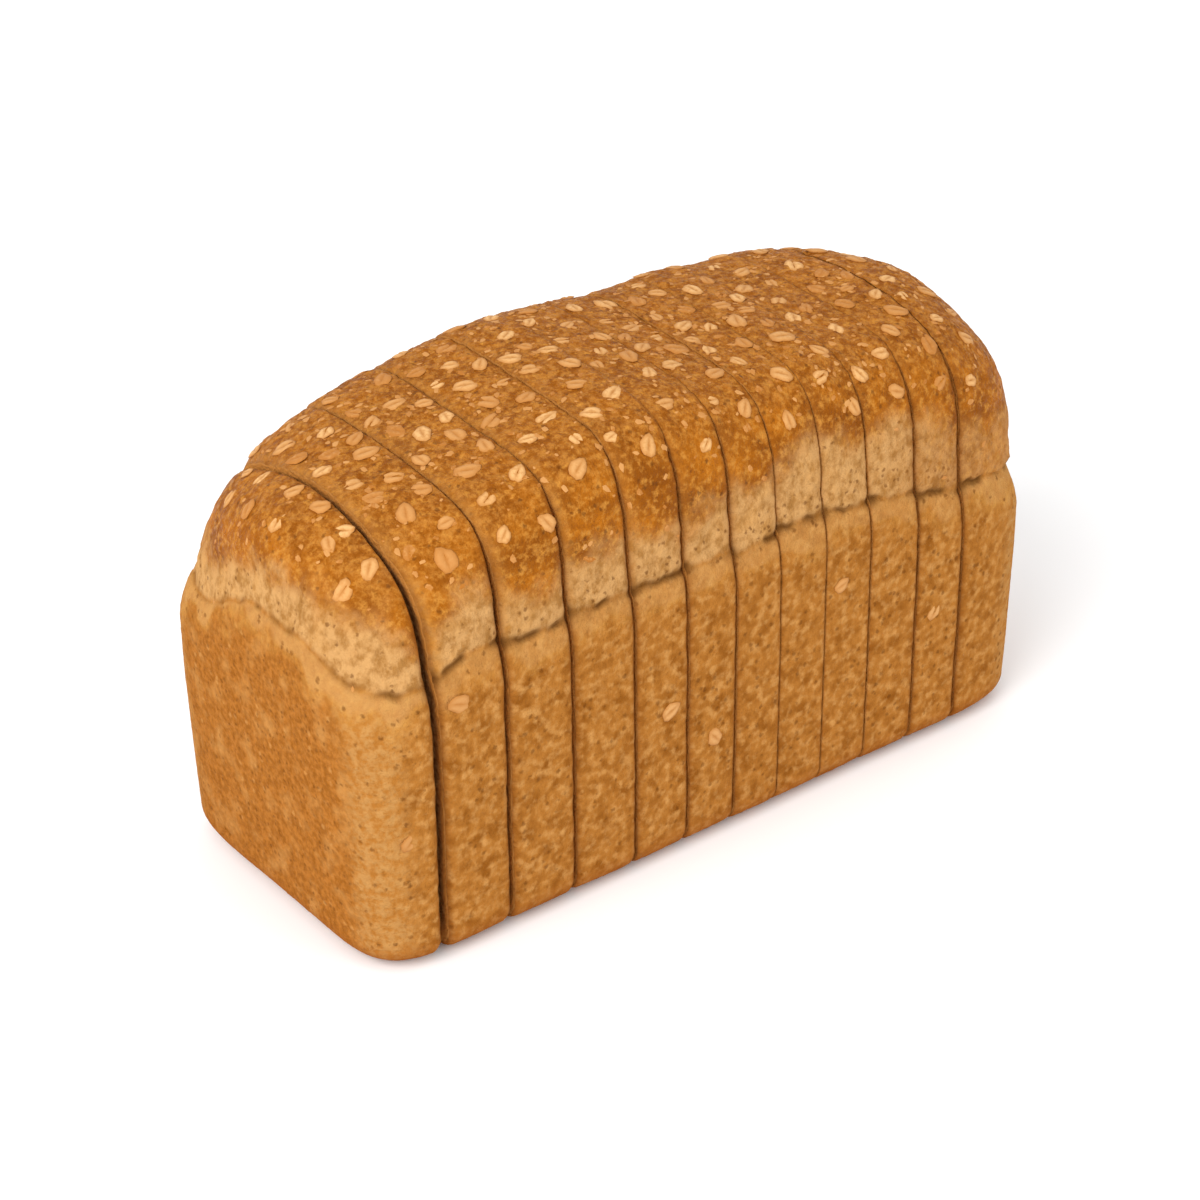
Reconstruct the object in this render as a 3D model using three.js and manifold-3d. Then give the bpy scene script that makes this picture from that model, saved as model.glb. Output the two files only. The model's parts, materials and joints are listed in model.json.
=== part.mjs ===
import * as THREE from 'three';
import { mergeVertices } from 'three/addons/utils/BufferGeometryUtils.js';
import Module from 'manifold-3d';

// A sliced wholemeal tin loaf with oat flakes baked onto its crust.
// Millimetres, +Z up. X runs along the loaf, from the near heel at -X to the far heel at +X.
// The loaf rests on Z = 0, and the origin is under its middle.

// Tin-baked walls, which lean out a little from the foot to the crease
const WALL_HALF_LENGTH = 123.8;
const WALL_HALF_WIDTH = 54.7;
const END_FLARE = 1.9;
const SIDE_FLARE = 0.4;
const FLARE_TOP = 0.8; // share of the crease's height where the lean ends
const WALL_LENGTH_POWER = 14;
const WALL_WIDTH_POWER = 6.4;
const FOOT_RADIUS = 9;

// The crease where the dough rose out of the tin
const CREASE_HEIGHT = 93.4;
const CREASE_DROP = 9; // how much lower it runs at the four corners
const CREASE_SLANT = 0.25; // the share by which it drops more at the -Y corners
const CREASE_DROP_START = 0.55; // shares of the half length between which it comes down
const CREASE_DROP_SPAN = 0.45;
const CREASE_DROP_WIDTH = 0.8;
const SHOULDER_START = 0.85; // share of the crease's height where the wall turns in
const SHOULDER_INSET = 4.6;

// The dome that rose above the tin
const NEAR_END = { length: 122, tuck: 1.4, powers: [9.8, 2.2] }; // round-topped
const FAR_END = { length: 126.2, tuck: 5, powers: [7.6, 6] }; // fuller and squarer
const DOME_HALF_WIDTH = 51.5;
const DOME_WIDTH_POWERS = [4, 5];
const SIDE_TUCK = 0.8; // how far the dome is tucked in at the crease
const TUCK_RISE = 0.3; // share of the crown where the tuck has opened out
const CROWN = 47.4;
const CROWN_LEAN = 0.08; // the far end rose higher
const CROWN_FALL = 0.16; // both ends fall off
const CROWN_FALL_POWER = 2.5;
const CROWN_SWELLS = [-2.7, -1.1, 1.7]; // long, short and middle waves along the ridge
const CROWN_TILT = 0.04; // rise for each millimetre towards +Y
const CROWN_POWER = 3.5;

// The cuts, as the slices' thicknesses from the near heel on
const LOAF_END = 125.7; // where both end walls reach, from the middle
const NEAR_HEEL_THICKNESS = 24.6;
const SLICE_THICKNESSES = [23, 22.6, 22, 19, 17.6, 16.7, 17.5, 17.6, 18.9, 18.5];
const CUT_GAPS = [1.3, 0.6, 0.55, 0.45, 0.4, 0.4, 0.4, 0.4, 0.4, 0.45, 0.45];
const EDGE_INSET = 0.7; // how far a slice's cut edges are worn back
const EDGE_BAND = 1.3;
const SWELL = 0.006; // how much neighbouring pieces differ in width and height
const NEAR_HEEL_SETTLE = 0.008; // the near heel has sunk a little beside the first slice

// Levels of the mesh: shares of the crease's height, then shares of the way from crease to top
const WALL_LEVELS = [0, 0.028, 0.097, 0.5, 0.86, 0.94, 1];
const DOME_LEVELS = [0, 0.06, 0.14, 0.25, 0.37, 0.49, 0.61, 0.73, 0.85, 0.94, 1];
const HEEL_STEPS = 16;
const HEEL_HUB = 58; // distance of the heels' fan centre from the loaf's middle

// Oat flakes
const FLAKE_COUNT = 180;
const FLAKE_LONGEST = 8.6;
const FLAKE_SHORTEST = 5.8;
const FLAKE_WIDTH_SHARE = 0.72;
const FLAKE_RISE = 1.3; // from the middle of a flake to its top
const FLAKE_SINK = 0.45; // how far that middle lies under the crust
const FLAKE_SIDES = 7;
const FLAKE_SPACING = [1.12, 1.75]; // centre distance in flake lengths, at the ridge and the flanks
const FLAKE_MARGIN = 0.35; // from a flake to the nearest cut face
const FLAKE_SPREAD = 0.93; // share of the dome's half width and length that carries flakes
const FLAKE_DRAWS = 9000;
const BARE_HEEL = 18; // the near heel has only chosen flakes below this y
// The flakes that catch the eye from the near corner: place along and across, length, turn in degrees
const CHOSEN_FLAKES = [
  [-115, 15, 7.2, 25],
  [-115, 0, 7.8, 15],
  [-110, -18, 7, 60],
  [-105, -18, 7, -45],
  [-114, -30, 7.4, 10],
  [-106, -31, 6.8, 40],
  [-105, 23, 7, -10],
  [-106, 5, 7, -40],
  [-105, -7, 6.4, -35],
  [-89, -43, 8.6, 75],
  [-90, -26, 7.6, 60],
  [-81, -22, 7.2, -35],
  [-84, 2, 7.8, -20],
  [-69, -25, 8.4, -35],
  [-71, -37, 6.8, 20],
  [-44, -42, 8.2, 30],
  [-46, 8, 7.6, -30],
  [-24, -15, 8, -40],
  [-21, -44, 8.2, 60],
  [-8, -35, 7.8, -10],
  [16, -11, 8.4, -30],
  [17, -28, 7.2, 10],
  [15, -42, 7.6, 50],
];
const SEED = 2027;
const DRAW_FACTOR = 48271; // of the seeded random numbers
const DRAW_MODULUS = 2147483647;

const HALVINGS = 40; // of an interval that holds a place on the surface
const SLOPE_STEP = 0.2;
const SAME_POINT = 1e-4; // points closer than this are one

const CRUST_COLOUR = 0xb27339;
const HEEL_COLOUR = 0xb57a3f;

const wasm = await Module();
wasm.setup();

// Seeded random numbers from 0 to 1
let seedState = SEED;
function draw() {
  seedState = (seedState * DRAW_FACTOR) % DRAW_MODULUS;
  return seedState / DRAW_MODULUS;
}

function mix(from, to, share) {
  return from + (to - from) * share;
}

function smooth(share) {
  const t = Math.min(Math.max(share, 0), 1);
  return t * t * (3 - 2 * t);
}

function creaseHeight(x, y) {
  const along = (Math.abs(x) / WALL_HALF_LENGTH - CREASE_DROP_START) / CREASE_DROP_SPAN;
  const across = Math.abs(y) / WALL_HALF_WIDTH / CREASE_DROP_WIDTH;
  const slant = 1 - CREASE_SLANT * (y / WALL_HALF_WIDTH);
  return CREASE_HEIGHT - CREASE_DROP * slant * smooth(along) * smooth(across);
}

function crownHeight(x, y) {
  const u = x / LOAF_END;
  const fall = CROWN_FALL * Math.abs(u) ** CROWN_FALL_POWER;
  const [long, short, middle] = CROWN_SWELLS;
  const turn = Math.PI * u;
  const swell = long * Math.sin(turn) + short * Math.sin(2 * turn) + middle * Math.cos(2 * turn);
  return CROWN * (1 + CROWN_LEAN * u - fall) + swell + CROWN_TILT * y;
}

// A level is a rounded outline in plan, |x/length|^power + |y/width|^widthPower = room, with the
// height of each point on it. Its two ends have a length and a power each.
function wallLevel(share) {
  const z = share * CREASE_HEIGHT;
  const flare = Math.sin((Math.PI / 2) * Math.min(share / FLARE_TOP, 1));
  const down = FOOT_RADIUS - Math.min(z, FOOT_RADIUS);
  const foot = FOOT_RADIUS - Math.sqrt(FOOT_RADIUS ** 2 - down ** 2);
  const turn = Math.max(0, (share - SHOULDER_START) / (1 - SHOULDER_START));
  const inset = foot + SHOULDER_INSET * turn ** 2;
  const end = { length: WALL_HALF_LENGTH + END_FLARE * flare - inset, power: WALL_LENGTH_POWER };
  return {
    near: end,
    far: end,
    width: WALL_HALF_WIDTH + SIDE_FLARE * flare - inset,
    widthPower: WALL_WIDTH_POWER,
    room: 1,
    height: (x, y) => share * creaseHeight(x, y),
  };
}

function domeLevel(angle) {
  const filled = Math.sin(angle) ** 2;
  const rise = filled ** (1 / CROWN_POWER);
  const tuck = Math.max(0, 1 - rise / TUCK_RISE) ** 2;
  const endFrom = ({ length, tuck: depth, powers }) => ({
    length: length - depth * tuck,
    power: mix(...powers, filled),
  });
  return {
    near: endFrom(NEAR_END),
    far: endFrom(FAR_END),
    width: DOME_HALF_WIDTH - SIDE_TUCK * tuck,
    widthPower: mix(...DOME_WIDTH_POWERS, filled),
    room: 1 - filled,
    height: (x, y) => creaseHeight(x, y) + crownHeight(x, y) * rise,
  };
}

// What is left of the room at a point: above 0 inside the outline, below 0 outside
function roomLeft(level, x, y) {
  const end = x < 0 ? level.near : level.far;
  const along = Math.abs(x / end.length) ** end.power;
  return level.room - along - Math.abs(y / level.width) ** level.widthPower;
}

// Halves an interval until it holds the place where a falling measure passes 0
function findZero(measure, from, to) {
  let low = from;
  let high = to;
  for (let i = 0; i < HALVINGS; i++) {
    const middle = (low + high) / 2;
    if (measure(middle) > 0) {
      low = middle;
    } else {
      high = middle;
    }
  }
  return (low + high) / 2;
}

// The level angle of the dome over a point in plan
function domeAngle(x, y) {
  return findZero((angle) => roomLeft(domeLevel(angle), x, y), 0, Math.PI / 2);
}

function domeTop(x, y) {
  return domeLevel(domeAngle(x, y)).height(x, y);
}

// Every level that a plane across the loaf at x meets, the last one at the ridge
function levelsAt(x) {
  const top = domeAngle(x, 0);
  return [...WALL_LEVELS.map(wallLevel), ...DOME_LEVELS.slice(1).map((share) => domeLevel(share * top))];
}

function halfWidthAt(level, x) {
  return level.width * Math.max(roomLeft(level, x, 0), 0) ** (1 / level.widthPower);
}

// One outline across the loaf: up the -Y side, over the ridge and down the +Y side
function sectionRing(x, inset, piece) {
  const levels = levelsAt(x);
  const ridge = levels.length - 1;
  const point = (level, side) => {
    const y = side * (level === levels[ridge] ? 0 : halfWidthAt(level, x));
    const keep = 1 - inset / WALL_HALF_WIDTH;
    return place(piece, x, y * keep, level.height(x, y) * (1 + keep) / 2);
  };
  const up = levels.map((level) => point(level, -1));
  const down = levels.slice(0, ridge).reverse().map((level) => point(level, 1));
  return [...up, ...down];
}

// Each piece is a little wider, narrower, higher or lower than its neighbours
function place(piece, x, y, z) {
  return [x, y * piece.widthScale, z * piece.heightScale];
}

function geometryFrom(points, triangles) {
  const geometry = new THREE.BufferGeometry();
  geometry.setAttribute('position', new THREE.Float32BufferAttribute(points.flat(), 3));
  geometry.setIndex(triangles.flat());
  return geometry;
}

// A slice: four outlines across the loaf, joined by faces and closed by two flat cut faces
function sliceGeometry(piece) {
  const stations = [
    [piece.from, EDGE_INSET],
    [piece.from + EDGE_BAND, 0],
    [piece.to - EDGE_BAND, 0],
    [piece.to, EDGE_INSET],
  ];
  const rings = stations.map(([x, inset]) => sectionRing(x, inset, piece));
  const count = rings[0].length;
  const triangles = [];
  for (let r = 0; r < rings.length - 1; r++) {
    for (let i = 0; i < count; i++) {
      const a = r * count + i;
      const b = r * count + ((i + 1) % count);
      triangles.push([a, a + count, b], [b, a + count, b + count]);
    }
  }
  const last = (rings.length - 1) * count;
  for (let i = 0; i < (count - 1) / 2; i++) {
    const j = count - 1 - i;
    const inner = [i, i + 1, j];
    const outer = [i + 1, j - 1, j];
    triangles.push(inner, [last + inner[0], last + inner[2], last + inner[1]]);
    if (i + 1 < j - 1) {
      triangles.push(outer, [last + outer[0], last + outer[2], last + outer[1]]);
    }
  }
  return geometryFrom(rings.flat(), triangles);
}

// A heel: at each level the outline runs from the cut face round the end and back to the cut face
function heelGeometry(piece) {
  const side = Math.sign(piece.from + piece.to);
  const cut = side < 0 ? piece.to : piece.from;
  const levels = levelsAt(cut);
  const ridge = levels.length - 1;
  const points = [];
  levels.slice(0, ridge).forEach((level) => {
    const cutWidth = halfWidthAt(level, cut);
    const lastTurn = Math.atan2(cutWidth, Math.abs(cut) - HEEL_HUB);
    for (let i = 0; i <= HEEL_STEPS; i++) {
      const turn = lastTurn * ((2 * i) / HEEL_STEPS - 1);
      const reach = findZero(
        (r) => roomLeft(level, side * (HEEL_HUB + r * Math.cos(turn)), r * Math.sin(turn)),
        0,
        2 * HEEL_HUB,
      );
      const atCut = i === 0 || i === HEEL_STEPS;
      const x = atCut ? cut : side * (HEEL_HUB + reach * Math.cos(turn));
      const y = -side * (atCut ? cutWidth * Math.sign(turn) : reach * Math.sin(turn));
      points.push(place(piece, x, y, level.height(x, y)));
    }
  });
  const apex = points.length;
  points.push(place(piece, cut, 0, levels[ridge].height(cut, 0)));
  const row = HEEL_STEPS + 1;
  const triangles = [];
  for (let l = 0; l < ridge; l++) {
    const low = l * row;
    for (let i = 0; i < HEEL_STEPS; i++) {
      const a = low + i;
      if (l + 1 < ridge) {
        triangles.push([a, a + row, a + 1], [a + 1, a + row, a + row + 1]);
      } else {
        triangles.push([a, apex, a + 1]);
      }
    }
    const left = low;
    const right = low + HEEL_STEPS;
    if (l + 1 < ridge) {
      triangles.push([left, right, left + row], [right, right + row, left + row]);
    } else {
      triangles.push([left, right, apex]);
    }
  }
  for (let i = 1; i < HEEL_STEPS; i++) {
    triangles.push([0, i, i + 1]);
  }
  return geometryFrom(points, triangles);
}

// A flake at its place on the crust. One that would cross a cut slides back onto its own slice.
function layFlake(pieces, aimedX, y, length, turn) {
  const piece = pieces.find((one) => aimedX < one.to + 1) ?? pieces[pieces.length - 1];
  const halfAlong = Math.hypot(Math.cos(turn), FLAKE_WIDTH_SHARE * Math.sin(turn)) * length / 2;
  const reach = halfAlong + FLAKE_MARGIN;
  const x = Math.min(Math.max(aimedX, piece.from + reach), piece.to - reach);
  return { x, y, z: domeTop(x, y), turn, length, piece };
}

// The chosen flakes lie first, then flakes thrown on from above, largest first, each clear of all
// that lie there already
function strewFlakes(pieces) {
  const flakes = CHOSEN_FLAKES.map(([x, y, length, degrees]) =>
    layFlake(pieces, x, y, length, THREE.MathUtils.degToRad(degrees)));
  for (let n = 0; n < FLAKE_DRAWS && flakes.length < FLAKE_COUNT; n++) {
    const length = mix(FLAKE_LONGEST, FLAKE_SHORTEST, flakes.length / FLAKE_COUNT);
    const aimedX = (2 * draw() - 1) * LOAF_END * FLAKE_SPREAD;
    const y = (2 * draw() - 1) * DOME_HALF_WIDTH * FLAKE_SPREAD;
    const flake = layFlake(pieces, aimedX, y, length, draw() * Math.PI);
    const offDome = roomLeft(domeLevel(0), flake.x / FLAKE_SPREAD, y / FLAKE_SPREAD) < 0;
    if (offDome || (flake.piece === pieces[0] && y < BARE_HEEL)) {
      continue;
    }
    const spacing = length * mix(...FLAKE_SPACING, smooth(Math.abs(y) / DOME_HALF_WIDTH));
    const gapTo = (other) => Math.hypot(other.x - flake.x, other.y - y, other.z - flake.z);
    if (flakes.every((other) => gapTo(other) > spacing)) {
      flakes.push(flake);
    }
  }
  return flakes;
}

function slopeAt(x, y) {
  const riseX = domeTop(x + SLOPE_STEP, y) - domeTop(x - SLOPE_STEP, y);
  const riseY = domeTop(x, y + SLOPE_STEP) - domeTop(x, y - SLOPE_STEP);
  return new THREE.Vector3(-riseX, -riseY, 2 * SLOPE_STEP).normalize();
}

// A flake is a low oval drum with a domed top, lying on the crust
function flakeGeometry(flake) {
  const geometry = new THREE.SphereGeometry(1, FLAKE_SIDES, 3);
  const drumShare = Math.sin(Math.PI / 3); // radius of the drum in a sphere cut into three bands
  const halfLength = flake.length / 2 / drumShare;
  geometry.rotateX(Math.PI / 2);
  geometry.scale(halfLength, halfLength * FLAKE_WIDTH_SHARE, FLAKE_RISE);
  geometry.rotateZ(flake.turn);
  const normal = slopeAt(flake.x, flake.y);
  const upright = new THREE.Vector3(0, 0, 1);
  geometry.applyQuaternion(new THREE.Quaternion().setFromUnitVectors(upright, normal));
  const centre = new THREE.Vector3(...place(flake.piece, flake.x, flake.y, flake.z));
  centre.addScaledVector(normal, -FLAKE_SINK);
  geometry.translate(centre.x, centre.y, centre.z);
  return geometry;
}

function solidFrom(geometry) {
  const bare = geometry.clone();
  bare.deleteAttribute('normal');
  bare.deleteAttribute('uv');
  const merged = mergeVertices(bare, SAME_POINT);
  return new wasm.Manifold(new wasm.Mesh({
    numProp: 3,
    vertProperties: new Float32Array(merged.attributes.position.array),
    triVerts: new Uint32Array(merged.index.array),
  }));
}

// The pieces from the near heel to the far heel, each with the stretch of the loaf that it takes up
function listPieces() {
  const thicknesses = [NEAR_HEEL_THICKNESS, ...SLICE_THICKNESSES];
  const pieces = [];
  let from = -LOAF_END;
  let cut = from;
  thicknesses.forEach((thickness, i) => {
    cut += thickness;
    const name = i === 0 ? 'heel_near' : `slice_${String(i).padStart(2, '0')}`;
    pieces.push({ name, from, to: cut - CUT_GAPS[i] / 2 });
    from = cut + CUT_GAPS[i] / 2;
  });
  pieces.push({ name: 'heel_far', from, to: LOAF_END });
  for (const piece of pieces) {
    piece.isHeel = piece.name.startsWith('heel');
    piece.widthScale = 1 - SWELL * draw();
    piece.heightScale = 1 - SWELL * draw() - (piece.name === 'heel_near' ? NEAR_HEEL_SETTLE : 0);
  }
  return pieces;
}

const pieces = listPieces();
const flakes = strewFlakes(pieces);
const loaf = new THREE.Group();
for (const piece of pieces) {
  let solid = solidFrom(piece.isHeel ? heelGeometry(piece) : sliceGeometry(piece));
  for (const flake of flakes.filter((one) => one.piece === piece)) {
    solid = solid.add(solidFrom(flakeGeometry(flake)));
  }
  const joined = solid.getMesh();
  const geometry = new THREE.BufferGeometry();
  geometry.setAttribute('position', new THREE.BufferAttribute(joined.vertProperties, 3));
  geometry.setIndex(new THREE.BufferAttribute(joined.triVerts, 1));
  const colour = piece.isHeel ? HEEL_COLOUR : CRUST_COLOUR;
  const crust = new THREE.MeshStandardMaterial({ color: colour, roughness: 0.75, metalness: 0 });
  const mesh = new THREE.Mesh(geometry, crust);
  mesh.name = piece.name;
  loaf.add(mesh);
}

export default loaf;
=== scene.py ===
# %% [markdown]
# # A sliced wholemeal tin loaf with oat flakes
#
# The loaf is baked in a straight-sided tin, so it has flat walls up to a crease. Above the
# crease the dough rose free and made a dome. Then it is cut into ten slices and two heels,
# which still stand together. Each of those twelve pieces is a mesh of its own here, and the
# oat flakes are meshes that lie on them.
#
# The imported model is the frame: it says where each piece stands. It is loaded first, and its
# box is kept.

# %% Load the frame
import itertools
import json
import math

import bpy
import numpy as np
from mathutils import Matrix, Vector

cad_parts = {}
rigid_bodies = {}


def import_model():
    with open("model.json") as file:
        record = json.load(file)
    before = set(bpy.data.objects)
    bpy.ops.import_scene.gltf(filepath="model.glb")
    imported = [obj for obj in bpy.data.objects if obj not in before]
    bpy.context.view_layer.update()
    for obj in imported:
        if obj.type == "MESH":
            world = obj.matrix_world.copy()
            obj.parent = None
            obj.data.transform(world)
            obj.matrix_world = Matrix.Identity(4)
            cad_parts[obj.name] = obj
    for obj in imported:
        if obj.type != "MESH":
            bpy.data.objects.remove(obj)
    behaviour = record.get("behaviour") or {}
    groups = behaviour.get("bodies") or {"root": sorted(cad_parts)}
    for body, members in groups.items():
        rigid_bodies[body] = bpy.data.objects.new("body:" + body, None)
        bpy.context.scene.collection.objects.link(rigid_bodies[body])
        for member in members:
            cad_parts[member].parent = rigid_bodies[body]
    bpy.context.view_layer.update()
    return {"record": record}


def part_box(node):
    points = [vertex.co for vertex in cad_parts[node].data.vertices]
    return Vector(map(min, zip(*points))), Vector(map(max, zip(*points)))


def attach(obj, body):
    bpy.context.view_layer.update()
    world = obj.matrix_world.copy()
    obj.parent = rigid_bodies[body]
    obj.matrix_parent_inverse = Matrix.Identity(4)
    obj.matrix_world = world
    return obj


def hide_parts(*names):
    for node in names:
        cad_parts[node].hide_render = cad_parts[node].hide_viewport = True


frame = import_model()
MM = 0.001
node_names = [row["node"] for row in frame["record"]["subparts"]]
print("pieces in the frame:", len(node_names))

# %% [markdown]
# ## The camera
#
# The photograph looks down on the near corner from about 31 degrees. Its angle, its distance
# and its lens were found together, from the outline, the cuts and the crease. The loaf sits a
# few pixels off the middle of the frame, which a small shift of the lens gives.

# %% Camera
FRAME_PIXELS = 1200
SENSOR_WIDTH = 36.0
VIEW_TURN = math.radians(-37.63)
VIEW_DOWN = math.radians(30.83)
VIEW_ROLL = math.radians(-0.47)
LENS = 94.0
CAMERA_DISTANCE = 0.9443
LOOK_AT = Vector((0.0, 0.0, 0.0539))
LOOK_AT_PIXEL = (613.2, 605.1)


def camera_axes():
    back = Vector((
        math.sin(VIEW_TURN) * math.cos(VIEW_DOWN),
        -math.cos(VIEW_TURN) * math.cos(VIEW_DOWN),
        math.sin(VIEW_DOWN),
    ))
    right = Vector((math.cos(VIEW_TURN), math.sin(VIEW_TURN), 0.0))
    up = back.cross(right)
    turned_right = right * math.cos(VIEW_ROLL) + up * math.sin(VIEW_ROLL)
    turned_up = up * math.cos(VIEW_ROLL) - right * math.sin(VIEW_ROLL)
    return turned_right, turned_up, back


def make_camera():
    data = bpy.data.cameras.new("camera")
    data.lens = LENS
    data.sensor_width = SENSOR_WIDTH
    data.shift_x = -(LOOK_AT_PIXEL[0] - FRAME_PIXELS / 2) / FRAME_PIXELS
    data.shift_y = (LOOK_AT_PIXEL[1] - FRAME_PIXELS / 2) / FRAME_PIXELS
    camera = bpy.data.objects.new("camera", data)
    bpy.context.scene.collection.objects.link(camera)
    right, up, back = camera_axes()
    turn = Matrix((right, up, back)).transposed().to_4x4()
    camera.matrix_world = Matrix.Translation(LOOK_AT + back * CAMERA_DISTANCE) @ turn
    bpy.context.scene.camera = camera
    return camera


camera = make_camera()
print("camera at", [round(v, 3) for v in camera.matrix_world.translation])

# %% [markdown]
# ## Light and floor
#
# A product photograph of food is lit by large soft lamps in a white room: hardly any hard
# shadow, but a clear difference between top, side and end. A bright world gives the room, one
# large lamp from the upper left gives the direction, and a weak one from the right keeps the
# long side open. The floor is a plain pale sheet.

# %% Light and floor
WORLD_STRENGTH = 0.95
FLOOR_HALF = 3.0
FLOOR_COLOUR = (0.95, 0.95, 0.95, 1.0)


def add_lamp(name, place, size, watts):
    data = bpy.data.lights.new(name, "AREA")
    data.shape = "DISK"
    data.size = size
    data.energy = watts
    lamp = bpy.data.objects.new(name, data)
    bpy.context.scene.collection.objects.link(lamp)
    lamp.location = place
    lamp.rotation_euler = (LOOK_AT - Vector(place)).to_track_quat("-Z", "Y").to_euler()
    return lamp


def make_room():
    world = bpy.data.worlds.new("white room")
    world.use_nodes = True
    room = world.node_tree.nodes["Background"]
    room.inputs["Color"].default_value = (1.0, 1.0, 1.0, 1.0)
    room.inputs["Strength"].default_value = WORLD_STRENGTH
    bpy.context.scene.world = world
    add_lamp("key lamp", (-1.5, -0.5, 1.3), 1.5, 30.0)
    add_lamp("side lamp", (0.7, -1.6, 0.7), 1.0, 6.0)
    corners = [(-FLOOR_HALF, -FLOOR_HALF, 0), (FLOOR_HALF, -FLOOR_HALF, 0)]
    corners += [(FLOOR_HALF, FLOOR_HALF, 0), (-FLOOR_HALF, FLOOR_HALF, 0)]
    data = bpy.data.meshes.new("floor")
    data.from_pydata(corners, [], [(0, 1, 2, 3)])
    floor = bpy.data.objects.new("floor", data)
    bpy.context.scene.collection.objects.link(floor)
    paper = bpy.data.materials.new("pale floor")
    paper.use_nodes = True
    shader = paper.node_tree.nodes["Principled BSDF"]
    shader.inputs["Base Color"].default_value = FLOOR_COLOUR
    shader.inputs["Roughness"].default_value = 0.9
    data.materials.append(paper)
    bpy.context.scene.view_settings.view_transform = "Standard"
    print("room lit, floor", 2 * FLOOR_HALF, "m wide")


make_room()

# %% [markdown]
# ## The form of the loaf
#
# The loaf could be sculpted, or blown up from a box by simulation. But its form follows rules:
# in plan every level is a rectangle with round corners, which is the curve
# |x/a|^m + |y/b|^n = room. The walls are such levels stacked up to the crease. In the dome,
# the room shrinks from 1 to 0 while the level rises, which rounds it over. So a few numbers
# hold the whole form. The solids of the frame came from the same rules, with a plainer crease
# and dome.
#
# All sizes here are millimetres. They become metres when a mesh is made.

# %% Walls, crease and dome
WALL_HALF_LENGTH = 123.8
WALL_HALF_WIDTH = 54.7
END_FLARE = 1.9
SIDE_FLARE = 0.4
FLARE_TOP = 0.8
WALL_POWERS = (14.0, 6.4)
FOOT_RADIUS = 8.9
CREASE_SIDE = 95.6
CREASE_END = 100.4
CREASE_END_MIDDLE = -10.0
CREASE_END_DROP = 11.0
CREASE_FAR_FALL = 13.5
FRAME_CREASE = 93.4
FRAME_DROP = 9.0
FRAME_SLANT = 0.25
SHOULDER_START = 0.84
SHOULDER_INSET = 2.4
CREASE_POWERS = (11.5, 5.0)
LOAF_END = 125.7
NEAR_END = {"length": 121.5, "low_rise": 0.4, "powers": (9.6, 2.16)}
FAR_END = {"length": 125.6, "low_rise": 0.8, "powers": (10.0, 9.0)}
DOME_HALF_WIDTH = 51.5
DOME_WIDTH_POWERS = (4.0, 5.0)
SIDE_LOW_RISE = 0.5
FAR_SQUARE = 3.0
NEAR_ROUND = 0.95
CROWN = 47.4
CROWN_LEAN = 0.08
CROWN_FALL = 0.16
CROWN_FALL_POWER = 2.5
CROWN_SWELLS = (-2.7, -1.1, 1.7)
CROWN_TILT = 0.04
CROWN_POWER = 3.5
HUMP_HEIGHT = 2.2
HUMP_X = 46.0
HUMP_LENGTH = 16.0
FAR_TILT = 0.04


def mix(start, end, share):
    return start + (end - start) * share


def smooth(share):
    t = np.clip(share, 0.0, 1.0)
    return t * t * (3 - 2 * t)


def crease_height(x, y):
    """High on the near end, lower round its corner, even along the sides, falling far off."""
    off_middle = np.abs(y - CREASE_END_MIDDLE)
    near_end = CREASE_END - CREASE_END_DROP * smooth((off_middle - 10) / 34)
    sides = CREASE_SIDE - CREASE_FAR_FALL * smooth((x - 28) / 97)
    return mix(near_end, sides, smooth((x + 104) / 16))


def top_height(x, y):
    """The height of the dome where it is highest: that of the solids, a hump and a far tilt."""
    along = smooth((np.abs(x) / WALL_HALF_LENGTH - 0.55) / 0.45)
    across = smooth(np.abs(y) / WALL_HALF_WIDTH / 0.8)
    crease = FRAME_CREASE - FRAME_DROP * (1 - FRAME_SLANT * y / WALL_HALF_WIDTH) * along * across
    u = x / LOAF_END
    turn = math.pi * u
    long, short, middle = CROWN_SWELLS
    swell = long * np.sin(turn) + short * np.sin(2 * turn) + middle * np.cos(2 * turn)
    fall = CROWN_FALL * np.abs(u) ** CROWN_FALL_POWER
    swell += HUMP_HEIGHT * np.exp(-(((x - HUMP_X) / HUMP_LENGTH) ** 2))
    tilt = (CROWN_TILT - FAR_TILT * smooth((x - 70) / 40)) * y
    return crease + CROWN * (1 + CROWN_LEAN * u - fall) + swell + tilt


def wall_level(share):
    """Levels of the wall, at shares of the crease's height."""
    z = share * CREASE_SIDE
    flare = np.sin(math.pi / 2 * np.minimum(share / FLARE_TOP, 1))
    down = FOOT_RADIUS - np.minimum(z, FOOT_RADIUS)
    foot = FOOT_RADIUS - np.sqrt(FOOT_RADIUS**2 - down**2)
    turn_in = np.maximum(0, (share - SHOULDER_START) / (1 - SHOULDER_START))
    inset = foot + SHOULDER_INSET * turn_in**2
    length = WALL_HALF_LENGTH + END_FLARE * flare - inset
    power, width_power = (mix(wall, crease, turn_in) for wall, crease in zip(WALL_POWERS, CREASE_POWERS))
    return {
        "near": (length, power),
        "far": (length, power),
        "width": (WALL_HALF_WIDTH + SIDE_FLARE * flare - inset, width_power),
        "room": np.ones_like(length),
        "square": np.zeros_like(length),
        "lift": share,
        "rise": np.zeros_like(length),
    }


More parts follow.
